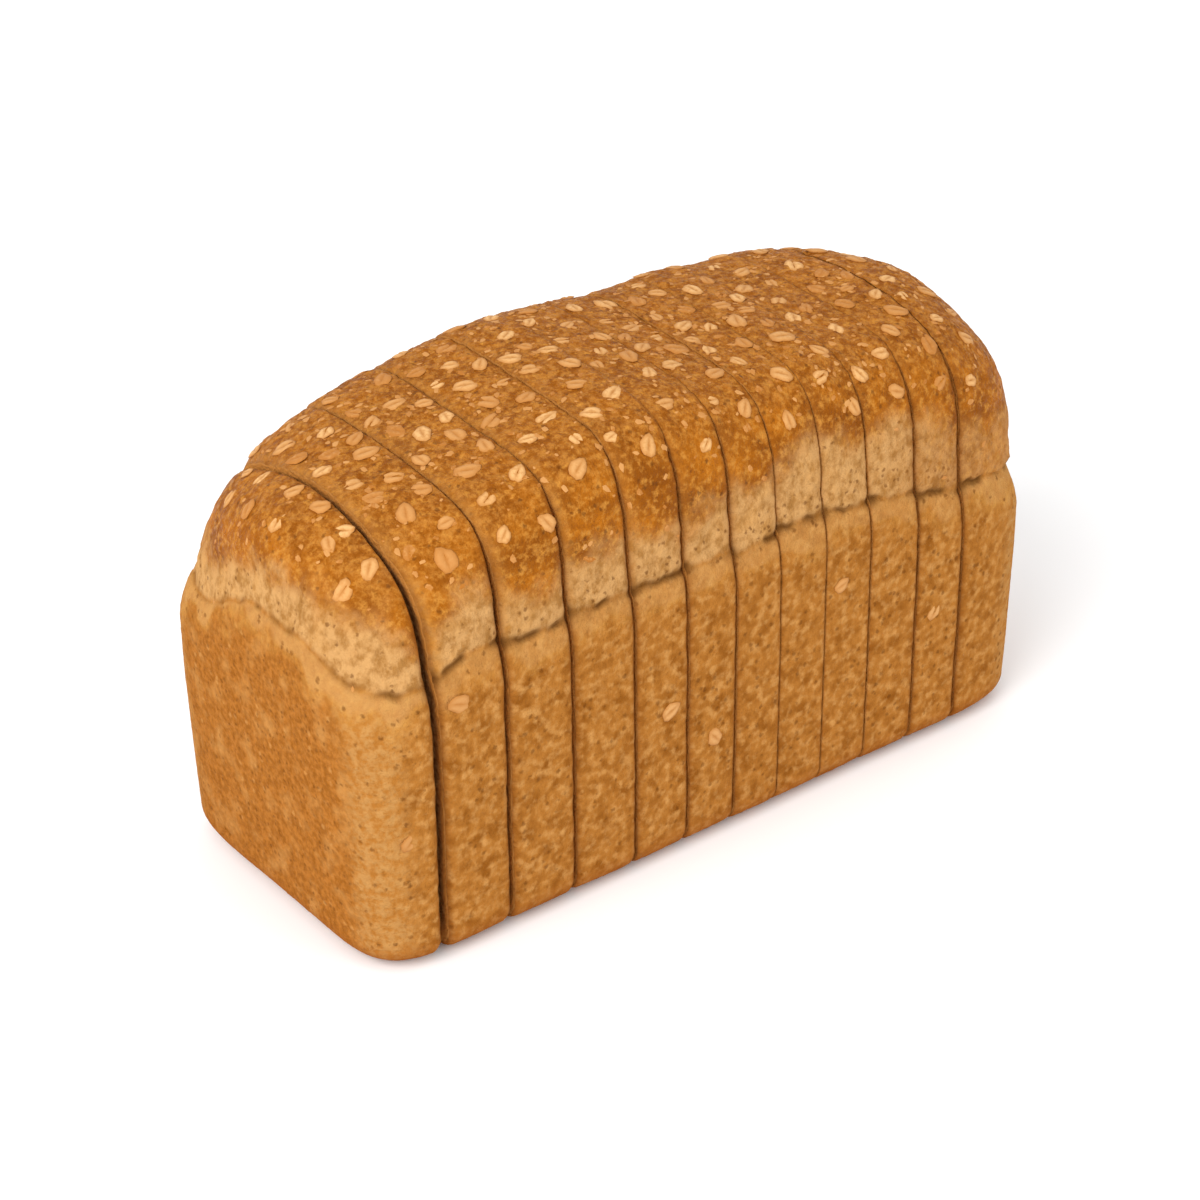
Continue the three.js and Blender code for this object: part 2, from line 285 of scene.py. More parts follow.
def dome_level(angle):
    """Levels of the dome, from angle 0 at the crease to a quarter turn at the top."""
    filled = np.sin(angle) ** 2
    rise = filled ** (1 / CROWN_POWER)
    crease_length = WALL_HALF_LENGTH + END_FLARE - SHOULDER_INSET
    crease_width = WALL_HALF_WIDTH + SIDE_FLARE - SHOULDER_INSET
    ends = []
    for end in (NEAR_END, FAR_END):
        low = np.maximum(0, 1 - rise / end["low_rise"]) ** 2
        power = mix(mix(*end["powers"], filled), CREASE_POWERS[0], low)
        ends.append((mix(end["length"], crease_length, low), power))
    low = np.maximum(0, 1 - rise / SIDE_LOW_RISE) ** 2
    width_power = mix(mix(*DOME_WIDTH_POWERS, filled), CREASE_POWERS[1], low)
    return {
        "near": ends[0],
        "far": ends[1],
        "width": (mix(DOME_HALF_WIDTH, crease_width, low), width_power),
        "room": 1 - filled,
        "square": FAR_SQUARE * np.maximum(0, 1 - rise / FAR_END["low_rise"]),
        "lift": np.ones_like(filled),
        "rise": rise,
    }


def level_height(level, x, y):
    crease = crease_height(x, y)
    return level["lift"] * crease + level["rise"] * (top_height(x, y) - crease)


def squared(level, x):
    """The width's power: higher towards the squarer far end, lower towards the rounder near end."""
    rounder = NEAR_ROUND * smooth((level["rise"] - 0.2) / 0.4) * smooth((-x - 50) / 40)
    return level["width"][1] + level["square"] * smooth((x - 20) / 90) - rounder


def room_left(level, x, y):
    """Above 0 inside a level's outline and below 0 outside it."""
    near, far = level["near"], level["far"]
    length = np.where(x < 0, near[0], far[0])
    power = np.where(x < 0, near[1], far[1])
    width, width_power = level["width"][0], squared(level, x)
    return level["room"] - np.abs(x / length) ** power - np.abs(y / width) ** width_power


def half_width(level, x):
    return level["width"][0] * np.maximum(room_left(level, x, 0.0), 0) ** (1 / squared(level, x))


HALVINGS = 40


def find_zero(measure, low, high):
    """Where a falling measure passes 0, for a whole array of intervals at once."""
    for _ in range(HALVINGS):
        middle = (low + high) / 2
        inside = measure(middle) > 0
        low = np.where(inside, middle, low)
        high = np.where(inside, high, middle)
    return (low + high) / 2


def dome_angle(x, y):
    x, y = np.broadcast_arrays(np.asarray(x, float), np.asarray(y, float))
    quarter = np.full(x.shape, math.pi / 2)
    return find_zero(lambda a: room_left(dome_level(a), x, y), np.zeros(x.shape), quarter)


def dome_top(x, y):
    return level_height(dome_level(dome_angle(x, y)), x, y)


print("ridge heights in mm:", np.round(dome_top(np.linspace(-110, 110, 6), 0.0), 1))

# %% [markdown]
# ## The pieces, and the seeded draw
#
# No two slices of a real loaf are quite alike. The frame gives each piece the stretch of the
# loaf that it takes up. A small seeded random draw then makes each a touch narrower and lower,
# in the same order as in the solids, so that the same seed gives the same loaf.

# %% The twelve pieces
SEED = 2027
DRAW_FACTOR = 48271
DRAW_MODULUS = 2147483647
SWELL = 0.006
NEAR_HEEL_SETTLE = 0.005
OPENINGS = (0.9, 0.5, 0.42, 0.34, 0.34, 0.28, 0.13, 0.11, 0.14, 0.3, 0.3)
TOP_OPENINGS = (0.3, 0.12, 0.06, 0.0, -0.04, -0.08, -0.08, -0.08, -0.06, -0.02, 0.0)
WEARS = (1.3, 0.9, 0.8, 0.7, 0.65, 0.55, 0.35, 0.3, 0.35, 0.6, 0.7)
# How strong the painted shade along each cut line is, where the gap between the pieces shades the crust.
CUT_SHADE_STRENGTHS = (1.0, 0.9, 0.9, 0.85, 0.85, 0.75, 0.4, 0.35, 0.45, 0.75, 1.0)
CUT_BOW = 0.4
CREASE_SHIFTS = (0.0, 0.9, -0.7, 0.5, -0.4, 0.8, -0.9, 0.4, -0.3, 0.7, -0.6, 0.3)
PALE_EDGES = (0.0, 0.9, 0.65, 0.45, 0.3, 0.15, 0.1, 0.0, 0.05, 0.1, 0.1, 0.05)
draw_state = SEED


def draw():
    global draw_state
    draw_state = (draw_state * DRAW_FACTOR) % DRAW_MODULUS
    return draw_state / DRAW_MODULUS


def list_pieces():
    pieces = []
    for name in node_names:
        low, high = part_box(name)
        pieces.append({"name": name, "from": low[0] / MM, "to": high[0] / MM})
    pieces.sort(key=lambda piece: piece["from"])
    pieces[0]["from"] = -LOAF_END
    pieces[-1]["to"] = LOAF_END
    for number, piece in enumerate(pieces):
        piece["is_heel"] = piece["name"].startswith("heel")
        piece["width_scale"] = 1 - SWELL * draw()
        piece["height_scale"] = 1 - SWELL * draw()
        piece["crease_shift"] = CREASE_SHIFTS[number]
        piece["pale_edge"] = PALE_EDGES[number]
        piece["cut_from"], piece["cut_to"] = piece["from"], piece["to"]
        piece["wear_from"] = piece["wear_to"] = 0.0
        piece["open_from"] = piece["open_to"] = 0.0
        piece["seam_from"] = piece["seam_to"] = 0.0
        piece["bow_from"] = piece["bow_to"] = 0.0
    for cut, (opening, at_top, wear, seam) in enumerate(zip(OPENINGS, TOP_OPENINGS, WEARS, CUT_SHADE_STRENGTHS)):
        pieces[cut]["cut_to"] -= at_top
        pieces[cut]["open_to"] = opening - at_top
        pieces[cut]["wear_to"] = wear
        pieces[cut]["seam_to"] = pieces[cut + 1]["seam_from"] = seam
        pieces[cut]["bow_to"] = pieces[cut + 1]["bow_from"] = CUT_BOW + opening
        pieces[cut + 1]["cut_from"] += at_top
        pieces[cut + 1]["open_from"] = opening - at_top
        pieces[cut + 1]["wear_from"] = wear
    pieces[0]["height_scale"] -= NEAR_HEEL_SETTLE
    return pieces


pieces = list_pieces()
for piece in pieces:
    print(piece["name"], "thickness", round(piece["to"] - piece["from"], 1), "mm")

# %% [markdown]
# ## Noise for the crust
#
# Bread has no smooth surface. The crust has low waves where the dough pulled, bumps of bran,
# and small pits. Those that show from a step away are real relief in the mesh. They come from
# two kinds of noise, both worked out from a point's place alone: soft waves between random
# heights on a lattice, and grains, which are scattered points with a distance to each.

# %% Waves and grains
LATTICE_PRIMES = (73856093, 19349663, 83492791, 2654435761)
LATTICE_TURN = 1274126177
LATTICE_STEPS = 0xFFFFFF


def lattice(cell, seed):
    """Seeded random numbers from 0 to 1, one for each cell of a lattice."""
    mixed = np.full(len(cell), seed * LATTICE_PRIMES[3], dtype=np.int64)
    for axis in range(3):
        mixed ^= cell[:, axis] * LATTICE_PRIMES[axis]
    mixed = (mixed ^ (mixed >> 13)) * LATTICE_TURN
    return ((mixed ^ (mixed >> 16)) & LATTICE_STEPS) / LATTICE_STEPS


def waves(points, size, seed):
    """Soft noise from -1 to 1, with its bumps about size apart."""
    scaled = points / size
    base = np.floor(scaled).astype(np.int64)
    share = smooth(scaled - base)
    total = np.zeros(len(points))
    for corner in itertools.product((0, 1), repeat=3):
        weight = np.prod(np.where(corner, share, 1 - share), axis=1)
        total += weight * lattice(base + np.array(corner), seed)
    return 2 * total - 1


def grains(points, size, seed):
    """The distance to the nearest scattered point, in sizes, and that point's random mark."""
    scaled = points / size
    base = np.floor(scaled).astype(np.int64)
    nearest = np.full(len(points), np.inf)
    mark = np.zeros(len(points))
    for step in itertools.product((-1, 0, 1), repeat=3):
        cell = base + np.array(step)
        offset = np.stack([lattice(cell, seed + axis) for axis in range(3)], axis=1)
        gap = np.linalg.norm(cell + offset - scaled, axis=1)
        closer = gap < nearest
        nearest = np.where(closer, gap, nearest)
        mark = np.where(closer, lattice(cell, seed + 3), mark)
    return nearest, mark


# %% [markdown]
# ## Zones of the crust
#
# The oven and the tin leave zones. The wall touched the tin: flat and speckled. In the crease
# the dough lifted off it. Just above is the break, a pale torn band that came up last and
# browned least. Then comes the glossy golden dome, darkest along the top. Each zone is a soft
# mask from 0 to 1 on every point. The relief uses the masks, and so does the colour, through
# attributes of the mesh.

# %% Zone masks
BREAK_HEIGHT = 21.5
BREAK_GROWTH = 5.5
BREAK_RAGGED = 6.5
BREAK_FADE = 11.0
BREAK_FAR_GOLD = 0.5
CREASE_WIDTH = 1.05
# How much the crease, its groove and its painted shade, is softened on the near end.
NEAR_CREASE_SOFTER = 0.45


def zone_masks(points, normals):
    """Every zone of the crust, as a soft mask from 0 to 1 on each point."""
    x, y, z = points.T
    above = z - crease_height(x, y)
    flat = points * np.array([1.0, 1.0, 0.0])
    ragged = BREAK_RAGGED * (waves(flat, 17.0, 11) + 0.6 * waves(points, 5.0, 12))
    dome = smooth((above + 1.0) / 2.5)
    break_top = BREAK_HEIGHT + BREAK_GROWTH * smooth((x + 34) / 60) + ragged
    break_band = dome * (1 - smooth((above - break_top + BREAK_FADE) / BREAK_FADE))
    break_band *= 1 - BREAK_FAR_GOLD * smooth((x - 50) / 50)
    # The crease mask deepens the groove in the relief and carries the crease's painted shade.
    crease = np.exp(-((above / CREASE_WIDTH) ** 2)) * smooth(0.5 + 0.9 * waves(points, 4.0, 13))
    return {
        "dome": dome,
        "break_band": break_band,
        "crease": crease * (1 - NEAR_CREASE_SOFTER * smooth((-108 - x) / 12)),
        "below": smooth((above + 13 + 6 * waves(points, 7.0, 14)) / 9) * (1 - dome),
        "top": smooth((normals[:, 2] - 0.35) / 0.6) * dome,
        "end_face": smooth((np.abs(normals[:, 0]) - 0.55) / 0.35),
        "foot": 1 - smooth((z - 1.0) / 11.0),
        "corner": smooth((2 * np.abs(normals[:, 0] * normals[:, 1]) - 0.25) / 0.55),
    }


# %% [markdown]
# ## Relief
#
# Waves, grains and the zones add up to how far each point moves along its normal. In the break
# the noise is squeezed across and stretched up and down, which gives the torn strands. The
# crease is a ragged groove. The whole is set back a little, so that the bumps stay within the
# frame's box.

# %% Relief of the crust
SET_BACK = 0.32
BRAN_SPACING = 2.1
BRAN_HEIGHT = 0.3
PORE_SPACING = 3.4
PIT_DEPTH = 0.28
TEAR_DEPTH = 0.3
CREASE_DEPTH = 0.9
STRAND_STRETCH = np.array([1.0, 1.0, 0.16])


def relief(points, masks):
    """How far each point moves along its normal. Each wave has a height, a size and a seed."""
    dome, torn, crease = masks["dome"], masks["break_band"], masks["crease"]
    wall = 1 - dome
    bran, bran_mark = grains(points, BRAN_SPACING, 21)
    pore, pore_mark = grains(points, PORE_SPACING, 31)
    bump = np.maximum(0, 1 - bran / 0.55) ** 2 * (bran_mark - 0.25)
    pit = np.maximum(0, 1 - pore / 0.3) * (pore_mark > 0.45)
    strands = waves(points * STRAND_STRETCH, 1.5, 41) + 0.6 * waves(points * STRAND_STRETCH, 3.4, 42)
    height = 0.26 * waves(points, 19.0, 51) + 0.05 * waves(points, 1.3, 54)
    height += dome * (0.28 * waves(points, 9.0, 52) + 0.24 * waves(points, 3.6, 53))
    height += dome * (0.14 + 0.2 * masks["top"]) * waves(points, 1.9, 57)
    height += (0.3 + 0.5 * wall) * BRAN_HEIGHT * bump
    height -= (0.25 + 0.75 * wall) * PIT_DEPTH * pit
    height += torn * (0.09 * strands + 0.2 * waves(points, 2.8, 58))
    height -= torn * TEAR_DEPTH * smooth((waves(points, 2.6, 55) - 0.35) / 0.3)
    height -= crease * CREASE_DEPTH
    return height - SET_BACK


WANDER = 1.3
WANDER_FADE = 7.0


def wander(points, shift):
    """How much the crease climbs or dips from its even course, fading away from it."""
    x, y, z = points.T
    flat = points * np.array([1.0, 1.0, 0.0])
    course = waves(flat, 15.0, 61) + 0.6 * waves(flat, 5.0, 62) + 0.45 * waves(flat, 2.4, 63)
    return (WANDER * course + shift) * np.exp(-np.abs(z - crease_height(x, y)) / WANDER_FADE)


# %% [markdown]
# ## Meshes from arrays
#
# A slice is one long outline across the loaf, repeated from its first cut face to its second.
# Points are spread evenly along the outline, with one row exactly in the crease. Near the cut
# faces the outline is drawn in a little, because the blade leaves a worn, rounded edge.

# %% Outlines across the loaf
UNDER_STEPS = 36
WALL_STEPS = 132
DOME_STEPS = 132
HEEL_COLUMNS = 202
ALONG_STEP = 0.62
FINE_SAMPLES = 1600
EDGE_STEPS = (0.0, 0.12, 0.3, 0.55, 0.85, 1.2, 1.65, 2.15)


def spread_evenly(y, z, extra, steps):
    """The same line with its points evenly apart, and the extra value carried along."""
    lengths = np.hypot(np.diff(y), np.diff(z))
    walked = np.concatenate([[0.0], np.cumsum(lengths)])
    stops = np.linspace(0.0, walked[-1], steps + 1)
    return [np.interp(stops, walked, line) for line in (y, z, extra)]


def half_outline(x, side):
    """From under the middle to the ridge on one side: y, z and the levels' own measures."""
    shares = 1 - np.cos(np.linspace(0, math.pi / 2, FINE_SAMPLES))
    wall = wall_level(shares)
    y = half_width(wall, x)
    z = level_height(wall, x, side * y)
    wall_y, wall_z, wall_shares = spread_evenly(y, z, shares, WALL_STEPS)
    top = float(dome_angle(x, 0.0))
    angles = top * (1 - np.cos(np.linspace(0, math.pi, FINE_SAMPLES))) / 2
    dome = dome_level(angles)
    y = half_width(dome, x)
    y[-1] = 0.0
    z = level_height(dome, x, side * y)
    dome_y, dome_z, dome_angles = spread_evenly(y, z, angles, DOME_STEPS)
    under = np.linspace(0.0, wall_y[0], UNDER_STEPS + 1)[:-1]
    ys = np.concatenate([under, wall_y, dome_y[1:]])
    zs = np.concatenate([np.zeros(UNDER_STEPS), wall_z, dome_z[1:]])
    return side * ys, zs, wall_shares, dome_angles


def full_outline(x):
    """Round the whole section: up the -Y side, over the ridge and down the +Y side."""
    left_y, left_z, _, _ = half_outline(x, -1)
    right_y, right_z, _, _ = half_outline(x, 1)
    ys = np.concatenate([left_y, right_y[-2:0:-1]])
    zs = np.concatenate([left_z, right_z[-2:0:-1]])
    return np.stack([np.full(len(ys), x), ys, zs], axis=1)


def stations(piece):
    """Places along a slice, close together near its cut faces."""
    edges = np.array(EDGE_STEPS)
    start, end = piece["cut_from"], piece["cut_to"]
    inner = end - start - 2 * edges[-1]
    count = max(2, round(inner / ALONG_STEP))
    middle = np.linspace(start + edges[-1], end - edges[-1], count + 1)
    return np.concatenate([start + edges[:-1], middle, (end - edges[:-1])[::-1]])


# %% [markdown]
# ## Cut faces
#
# A cut face could be one flat polygon, but crumb has pores, so it needs points inside. Rings
# of the outline shrink towards the middle, and every few rings half of the points are left
# out, because the pores inside need no more than a point a millimetre.
#
# The blade bends a little on its way, so both faces of a cut bow the same way towards the far
# end. That also keeps daylight from showing through the gap.

# %% Filling a loop with rings
RING_SHARES = (0.988, 0.97, 0.945, 0.915, 0.88, 0.84, 0.8, 0.755, 0.71, 0.66, 0.61, 0.555)
RING_SHARES += (0.5, 0.445, 0.39, 0.335, 0.28, 0.22, 0.16, 0.1)
HALVED_AT = (0, 5, 14)
BAKED_RINGS = (1.0, 1.0, 0.5, 0.15)
BOW_REACH = 0.15


def fill_loop(points, loop, centre):
    """Points and faces inside a closed loop of point numbers, wound like the loop."""
    fresh = []
    faces = []
    rings = []
    outer = list(loop)
    edge = points[outer]
    first = len(points)
    for ring, share in enumerate(RING_SHARES):
        halved = ring in HALVED_AT
        if halved:
            edge = edge[::2]
        ids = list(range(first + len(fresh), first + len(fresh) + len(edge)))
        fresh.extend(centre + (edge - centre) * share)
        rings += [ring] * len(edge)
        count = len(ids)
        for k in range(count):
            after = ids[(k + 1) % count]
            if halved:
                start, mid, end = outer[2 * k], outer[2 * k + 1], outer[(2 * k + 2) % len(outer)]
                faces += [(start, mid, ids[k]), (mid, after, ids[k]), (mid, end, after)]
            else:
                start, end = outer[k], outer[(k + 1) % count]
                faces.append((start, end, after, ids[k]))
        outer = ids
    middle = first + len(fresh)
    fresh.append(centre)
    rings.append(len(RING_SHARES))
    faces += [(outer[k], outer[(k + 1) % len(outer)], middle) for k in range(len(outer))]
    return np.array(fresh), faces, np.array(rings)


def crumb_depth(points):
    """How deep the pores of the crumb go at each point."""
    coarse, coarse_mark = grains(points, 4.2, 71)
    fine, _ = grains(points, 2.0, 75)
    open_pore = np.maximum(0, 1 - coarse / 0.42) * (coarse_mark > 0.4)
    return 0.5 * open_pore + 0.22 * np.maximum(0, 1 - fine / 0.5)


# %% [markdown]
# ## Slices and heels
#
# A slice joins its outlines with four-sided faces. A heel can't be made of outlines across,
# because its end is flat. It is made of levels instead, each running from the cut face round
# the end and back, up to the one point at the top of the cut. In both, the cut faces stay flat
# where they meet the crust, so that neighbours never touch.

# %% Grids of crust points
EDGE_SLUMP = 0.45
EDGE_SLUMP_REACH = 6.0
OPENING_REACH = 4.0
TOP_SPARED = 0.6
WEAR_REACH = (0.5, 1.5)
STRIP_WIDTH = 2.5
NOTCH_DEPTH = 1.6
NOTCH_HEIGHT = 2.2
FLANK_BITS = 0.25
NEAR_HEEL_BITS = 0.35
BIT_CLEARANCE = 0.6
HEEL_HUB = 58.0
EDGE_TURN_SHARE = 0.012
SUMMIT_WIDTH = 0.7
SUMMIT_BLEND = 0.3
FAR_AWAY = 1000.0
SLOPE_STEP = 0.2


def grid_normals(grid, closed):
    """Outward normals of a grid of points, whose columns may close into a loop."""
    if closed:
        wrapped = np.concatenate([grid[:, -1:], grid, grid[:, :1]], axis=1)
        around = wrapped[:, 2:] - wrapped[:, :-2]
    else:
        around = np.gradient(grid, axis=1)
    along = np.gradient(grid, axis=0)
    normals = np.cross(along, around)
    return normals / np.maximum(np.linalg.norm(normals, axis=2, keepdims=True), 1e-9)


def slope_normals(x, y):
    """Outward normals of the dome from the slope of its height."""
    rise_x = dome_top(x + SLOPE_STEP, y) - dome_top(x - SLOPE_STEP, y)
    rise_y = dome_top(x, y + SLOPE_STEP) - dome_top(x, y - SLOPE_STEP)
    normals = np.stack([-rise_x, -rise_y, np.full(rise_x.shape, 2 * SLOPE_STEP)], axis=-1)
    return normals / np.linalg.norm(normals, axis=-1, keepdims=True)


def slice_grid(piece):
    grid = np.array([full_outline(x) for x in stations(piece)])
    return grid, grid_normals(grid, True)


def heel_grid(piece):
    """Rows of levels from the foot to just below the top of the cut, and the top point."""
    side = -1.0 if piece["to"] < 0 else 1.0
    cut = piece["cut_to"] if side < 0 else piece["cut_from"]
    _, _, shares, angles = half_outline(cut, -1)
    walls, domes = wall_level(shares), dome_level(angles[1:-1])
    joined = {
        key: tuple(np.concatenate([a * np.ones_like(walls["room"]), b * np.ones_like(domes["room"])])
                   for a, b in zip(walls[key], domes[key]))
        for key in ("near", "far", "width")
    }
    for key in ("room", "square", "lift", "rise"):
        joined[key] = np.concatenate([walls[key], domes[key]])
    rows = {
        key: tuple(part[:, None] for part in value) if isinstance(value, tuple) else value[:, None]
        for key, value in joined.items()
    }
    cut_width = half_width(rows, cut)
    run = abs(cut) - HEEL_HUB
    last_turn = np.arctan2(cut_width, run)
    fine = np.array(EDGE_STEPS)[None, :]
    step = np.arange(len(EDGE_STEPS))[None, :]
    eased = np.minimum(fine * cut_width / (cut_width**2 + run**2), EDGE_TURN_SHARE * step * last_turn)
    edge = last_turn - eased
    inner = edge[:, -1:] * np.linspace(-1, 1, HEEL_COLUMNS + 1)[None, :]
    turn = np.concatenate([-edge, inner[:, 1:-1], edge[:, ::-1]], axis=1)
    zero = np.zeros(turn.shape)
    reach = find_zero(
        lambda r: room_left(rows, side * (HEEL_HUB + r * np.cos(turn)), r * np.sin(turn)),
        zero,
        zero + 2 * HEEL_HUB,
    )
    x = side * (HEEL_HUB + reach * np.cos(turn))
    y = -side * reach * np.sin(turn)
    x[:, [0, -1]] = cut
    y[:, [0, -1]] = -side * cut_width * np.array([-1.0, 1.0])
    grid = np.stack([x, y, level_height(rows, x, y)], axis=2)
    top = np.array([cut, 0.0, float(dome_top(cut, 0.0))])
    near_top = smooth((SUMMIT_WIDTH - cut_width / cut_width.max()) / SUMMIT_BLEND)[:, :, None]
    normals = mix(grid_normals(grid, False), slope_normals(x, y), near_top)
    return grid, normals / np.linalg.norm(normals, axis=2, keepdims=True), top, cut


def worn(points, gap, depth):
    """How far an edge is worn down, at each point's gap to the cut."""
    uneven = 1 + 0.4 * waves(points, 3.5, 81)
    reach = WEAR_REACH[0] + WEAR_REACH[1] * depth
    return depth * uneven * np.maximum(0, 1 - gap / reach) ** 2


def shape_crust(piece, points, normals, low_gap, high_gap):
    """Moves crust points to their real place, and returns them with their zone masks."""
    edge_gap = np.minimum(low_gap, high_gap)
    flat_normals = normals.copy()
    flat_normals[edge_gap < 1e-6, 0] = 0.0
    flat_normals /= np.maximum(np.linalg.norm(flat_normals, axis=1, keepdims=True), 1e-9)
    masks = zone_masks(points, flat_normals)
    wear = worn(points, low_gap, piece["wear_from"]) + worn(points, high_gap, piece["wear_to"])
    slump = EDGE_SLUMP * np.maximum(0, 1 - edge_gap / EDGE_SLUMP_REACH) ** 2
    spared = 1 - TOP_SPARED * masks["top"]
    height = relief(points, masks) - (wear + slump * (0.3 + 0.7 * masks["dome"])) * spared
    opening = piece["open_from"] * np.exp(-low_gap / OPENING_REACH)
    opening = opening - piece["open_to"] * np.exp(-high_gap / OPENING_REACH)
    along = opening * (1 - masks["top"])
    standing = points[:, 2] < 1e-6
    moved = points + flat_normals * height[:, None]
    moved[:, 2] += wander(points, piece["crease_shift"])
    moved[:, 1] *= piece["width_scale"]
    moved[:, 2] *= piece["height_scale"]
    moved[standing] = points[standing] * np.array([1.0, piece["width_scale"], 0.0])
    moved[:, 0] += along
    moved[:, 2] = np.maximum(moved[:, 2], 0.0)
    strip = 1 + 0.5 * waves(points, 5.0, 83)
    strip *= (1 - 0.5 * masks["top"]) * np.exp(-((low_gap / STRIP_WIDTH) ** 2))
    masks["rim"] = np.clip(piece["pale_edge"] * strip * masks["dome"], 0, 1)
    # Painted shade along the cut lines, darkest at the edge, where the gap shades the crust.
    seam = np.maximum(piece["seam_from"] * np.exp(-low_gap), piece["seam_to"] * np.exp(-high_gap))
    masks["seam"] = seam * (1 - 0.5 * masks["top"])
    # Painted shade in the notch where a cut crosses the crease.
    above_crease = points[:, 2] - crease_height(points[:, 0], points[:, 1])
    masks["notch_shade"] = np.exp(-edge_gap / NOTCH_DEPTH) * np.exp(-((above_crease / NOTCH_HEIGHT) ** 2))
    masks["crumb"] = np.zeros(len(points))
    masks["baked"] = np.zeros(len(points))
    strewn = masks["dome"] * mix(FLANK_BITS, 1.0, masks["top"]) * (1 - masks["break_band"])
    kept = NEAR_HEEL_BITS if piece["name"] == "heel_near" else 1.0
    masks["sprinkle"] = strewn * (edge_gap > BIT_CLEARANCE) * kept
    return moved, masks


# %% Meshes of slices and heels
def add_fill(points, masks, faces, loop, inward=0, cut=0.0, bow=0.0):
    """Closes a loop with rings. A cut face bows at its plane, and its pores go inward."""
    centre = points[list(loop)].mean(axis=0)
    if inward:
        centre[0] = cut
    fresh, fresh_faces, rings = fill_loop(points, loop, centre)
    fresh_masks = {key: np.zeros(len(fresh)) for key in masks}
    if inward:
        shares = np.append(RING_SHARES, 0.0)[rings]
        fresh[:, 0] += bow * smooth((1 - shares) / BOW_REACH) + inward * crumb_depth(fresh)
        fresh_masks["crumb"][:] = 1.0
        fresh_masks["baked"] = np.append(BAKED_RINGS, np.zeros(len(RING_SHARES)))[rings]
    masks = {key: np.concatenate([mask, fresh_masks[key]]) for key, mask in masks.items()}
    return np.concatenate([points, fresh]), masks, faces + fresh_faces


def slice_arrays(piece):
    grid, normals = slice_grid(piece)
    rows, columns = grid.shape[:2]
    flat = grid.reshape(-1, 3)
    low_gap, high_gap = flat[:, 0] - piece["cut_from"], piece["cut_to"] - flat[:, 0]
    points, masks = shape_crust(piece, flat, normals.reshape(-1, 3), low_gap, high_gap)
    i, j = np.meshgrid(np.arange(rows - 1), np.arange(columns), indexing="ij")
    after = (j + 1) % columns
    corners = (i * columns + j, (i + 1) * columns + j, (i + 1) * columns + after, i * columns + after)
    faces = [tuple(face) for face in np.stack(corners, axis=-1).reshape(-1, 4).tolist()]
    first = list(range(columns))
    last = [(rows - 1) * columns + k for k in reversed(first)]
    low, high = (piece["cut_from"], piece["bow_from"]), (piece["cut_to"], piece["bow_to"])
    points, masks, faces = add_fill(points, masks, faces, first, 1, *low)
    return add_fill(points, masks, faces, last, -1, *high)


def heel_arrays(piece):
    grid, normals, top, cut = heel_grid(piece)
    rows, columns = grid.shape[:2]
    flat = np.concatenate([grid.reshape(-1, 3), [top]])
    upward = np.array([[0.0, 0.0, 1.0]])
    all_normals = np.concatenate([normals.reshape(-1, 3), upward])
    gap = np.abs(flat[:, 0] - cut)
    gaps = (np.full(len(gap), FAR_AWAY), gap) if cut < 0 else (gap, np.full(len(gap), FAR_AWAY))
    points, masks = shape_crust(piece, flat, all_normals, *gaps)
    i, j = np.meshgrid(np.arange(rows - 1), np.arange(columns - 1), indexing="ij")
    low = i * columns + j
    corners = (low, low + columns, low + columns + 1, low + 1)
    faces = [tuple(face) for face in np.stack(corners, axis=-1).reshape(-1, 4).tolist()]
    summit = rows * columns
    last_row = (rows - 1) * columns
    faces += [(last_row + k, summit, last_row + k + 1) for k in range(columns - 1)]
    left, right = points[0], points[columns - 1]
    shares = np.linspace(0, 1, 2 * UNDER_STEPS + 1)[1:-1, None]
    edge = left + (right - left) * shares
    edge_ids = list(range(len(points), len(points) + len(edge)))
    points = np.concatenate([points, edge])
    masks = {key: np.concatenate([mask, np.zeros(len(edge))]) for key, mask in masks.items()}
    left_side = [k * columns for k in range(rows)]
    right_side = [k * columns + columns - 1 for k in range(rows)]
    cut_loop = [left_side[0]] + edge_ids + right_side + [summit] + left_side[:0:-1]
    inward, bow = (-1, piece["bow_to"]) if cut < 0 else (1, piece["bow_from"])
    points, masks, faces = add_fill(points, masks, faces, cut_loop, inward, cut, bow)
    foot_loop = list(range(columns)) + edge_ids[::-1]
    return add_fill(points, masks, faces, foot_loop)


def signed_volume(points, faces):
    fan = [(f[0], f[k], f[k + 1]) for f in faces for k in range(1, len(f) - 1)]
    a, b, c = (points[[tri[n] for tri in fan]] for n in range(3))
    return float(np.einsum("ij,ij->i", a, np.cross(b, c)).sum() / 6)


def mesh_object(name, points, faces, masks):
    data = bpy.data.meshes.new(name)
    data.from_pydata((points * MM).tolist(), [], faces)
    data.polygons.foreach_set("use_smooth", [True] * len(data.polygons))
    for key, mask in masks.items():
        attribute = data.attributes.new(key, "FLOAT", "POINT")
        attribute.data.foreach_set("value", mask.astype(np.float32))
    data.validate()
    made = bpy.data.objects.new(name, data)
    bpy.context.scene.collection.objects.link(made)
    return made


crust_objects = []
for piece in pieces:
    build = heel_arrays if piece["is_heel"] else slice_arrays
    points, masks, faces = build(piece)
    crust = mesh_object("crust_" + piece["name"], points, faces, masks)
    crust_objects.append(crust)
    triangles = sum(len(face) - 2 for face in faces)
    print(crust.name, triangles, "triangles,", round(signed_volume(points, faces) / 1000), "ml")

# %% [markdown]
# ## Nodes in short
#
# A finish is a tree of nodes. A few helpers make such a tree read like a sum: each adds one
# node, sets or links its inputs, and gives back the output that the next one needs.

# %% Helpers for finishes
def linear(colour):
    """A colour as seen on a screen, from 0 to 255, as the linear light a shader takes."""
    shares = [value / 255 for value in colour]
    light = [s / 12.92 if s <= 0.04045 else ((s + 0.055) / 1.055) ** 2.4 for s in shares]
    return (*light, 1.0)


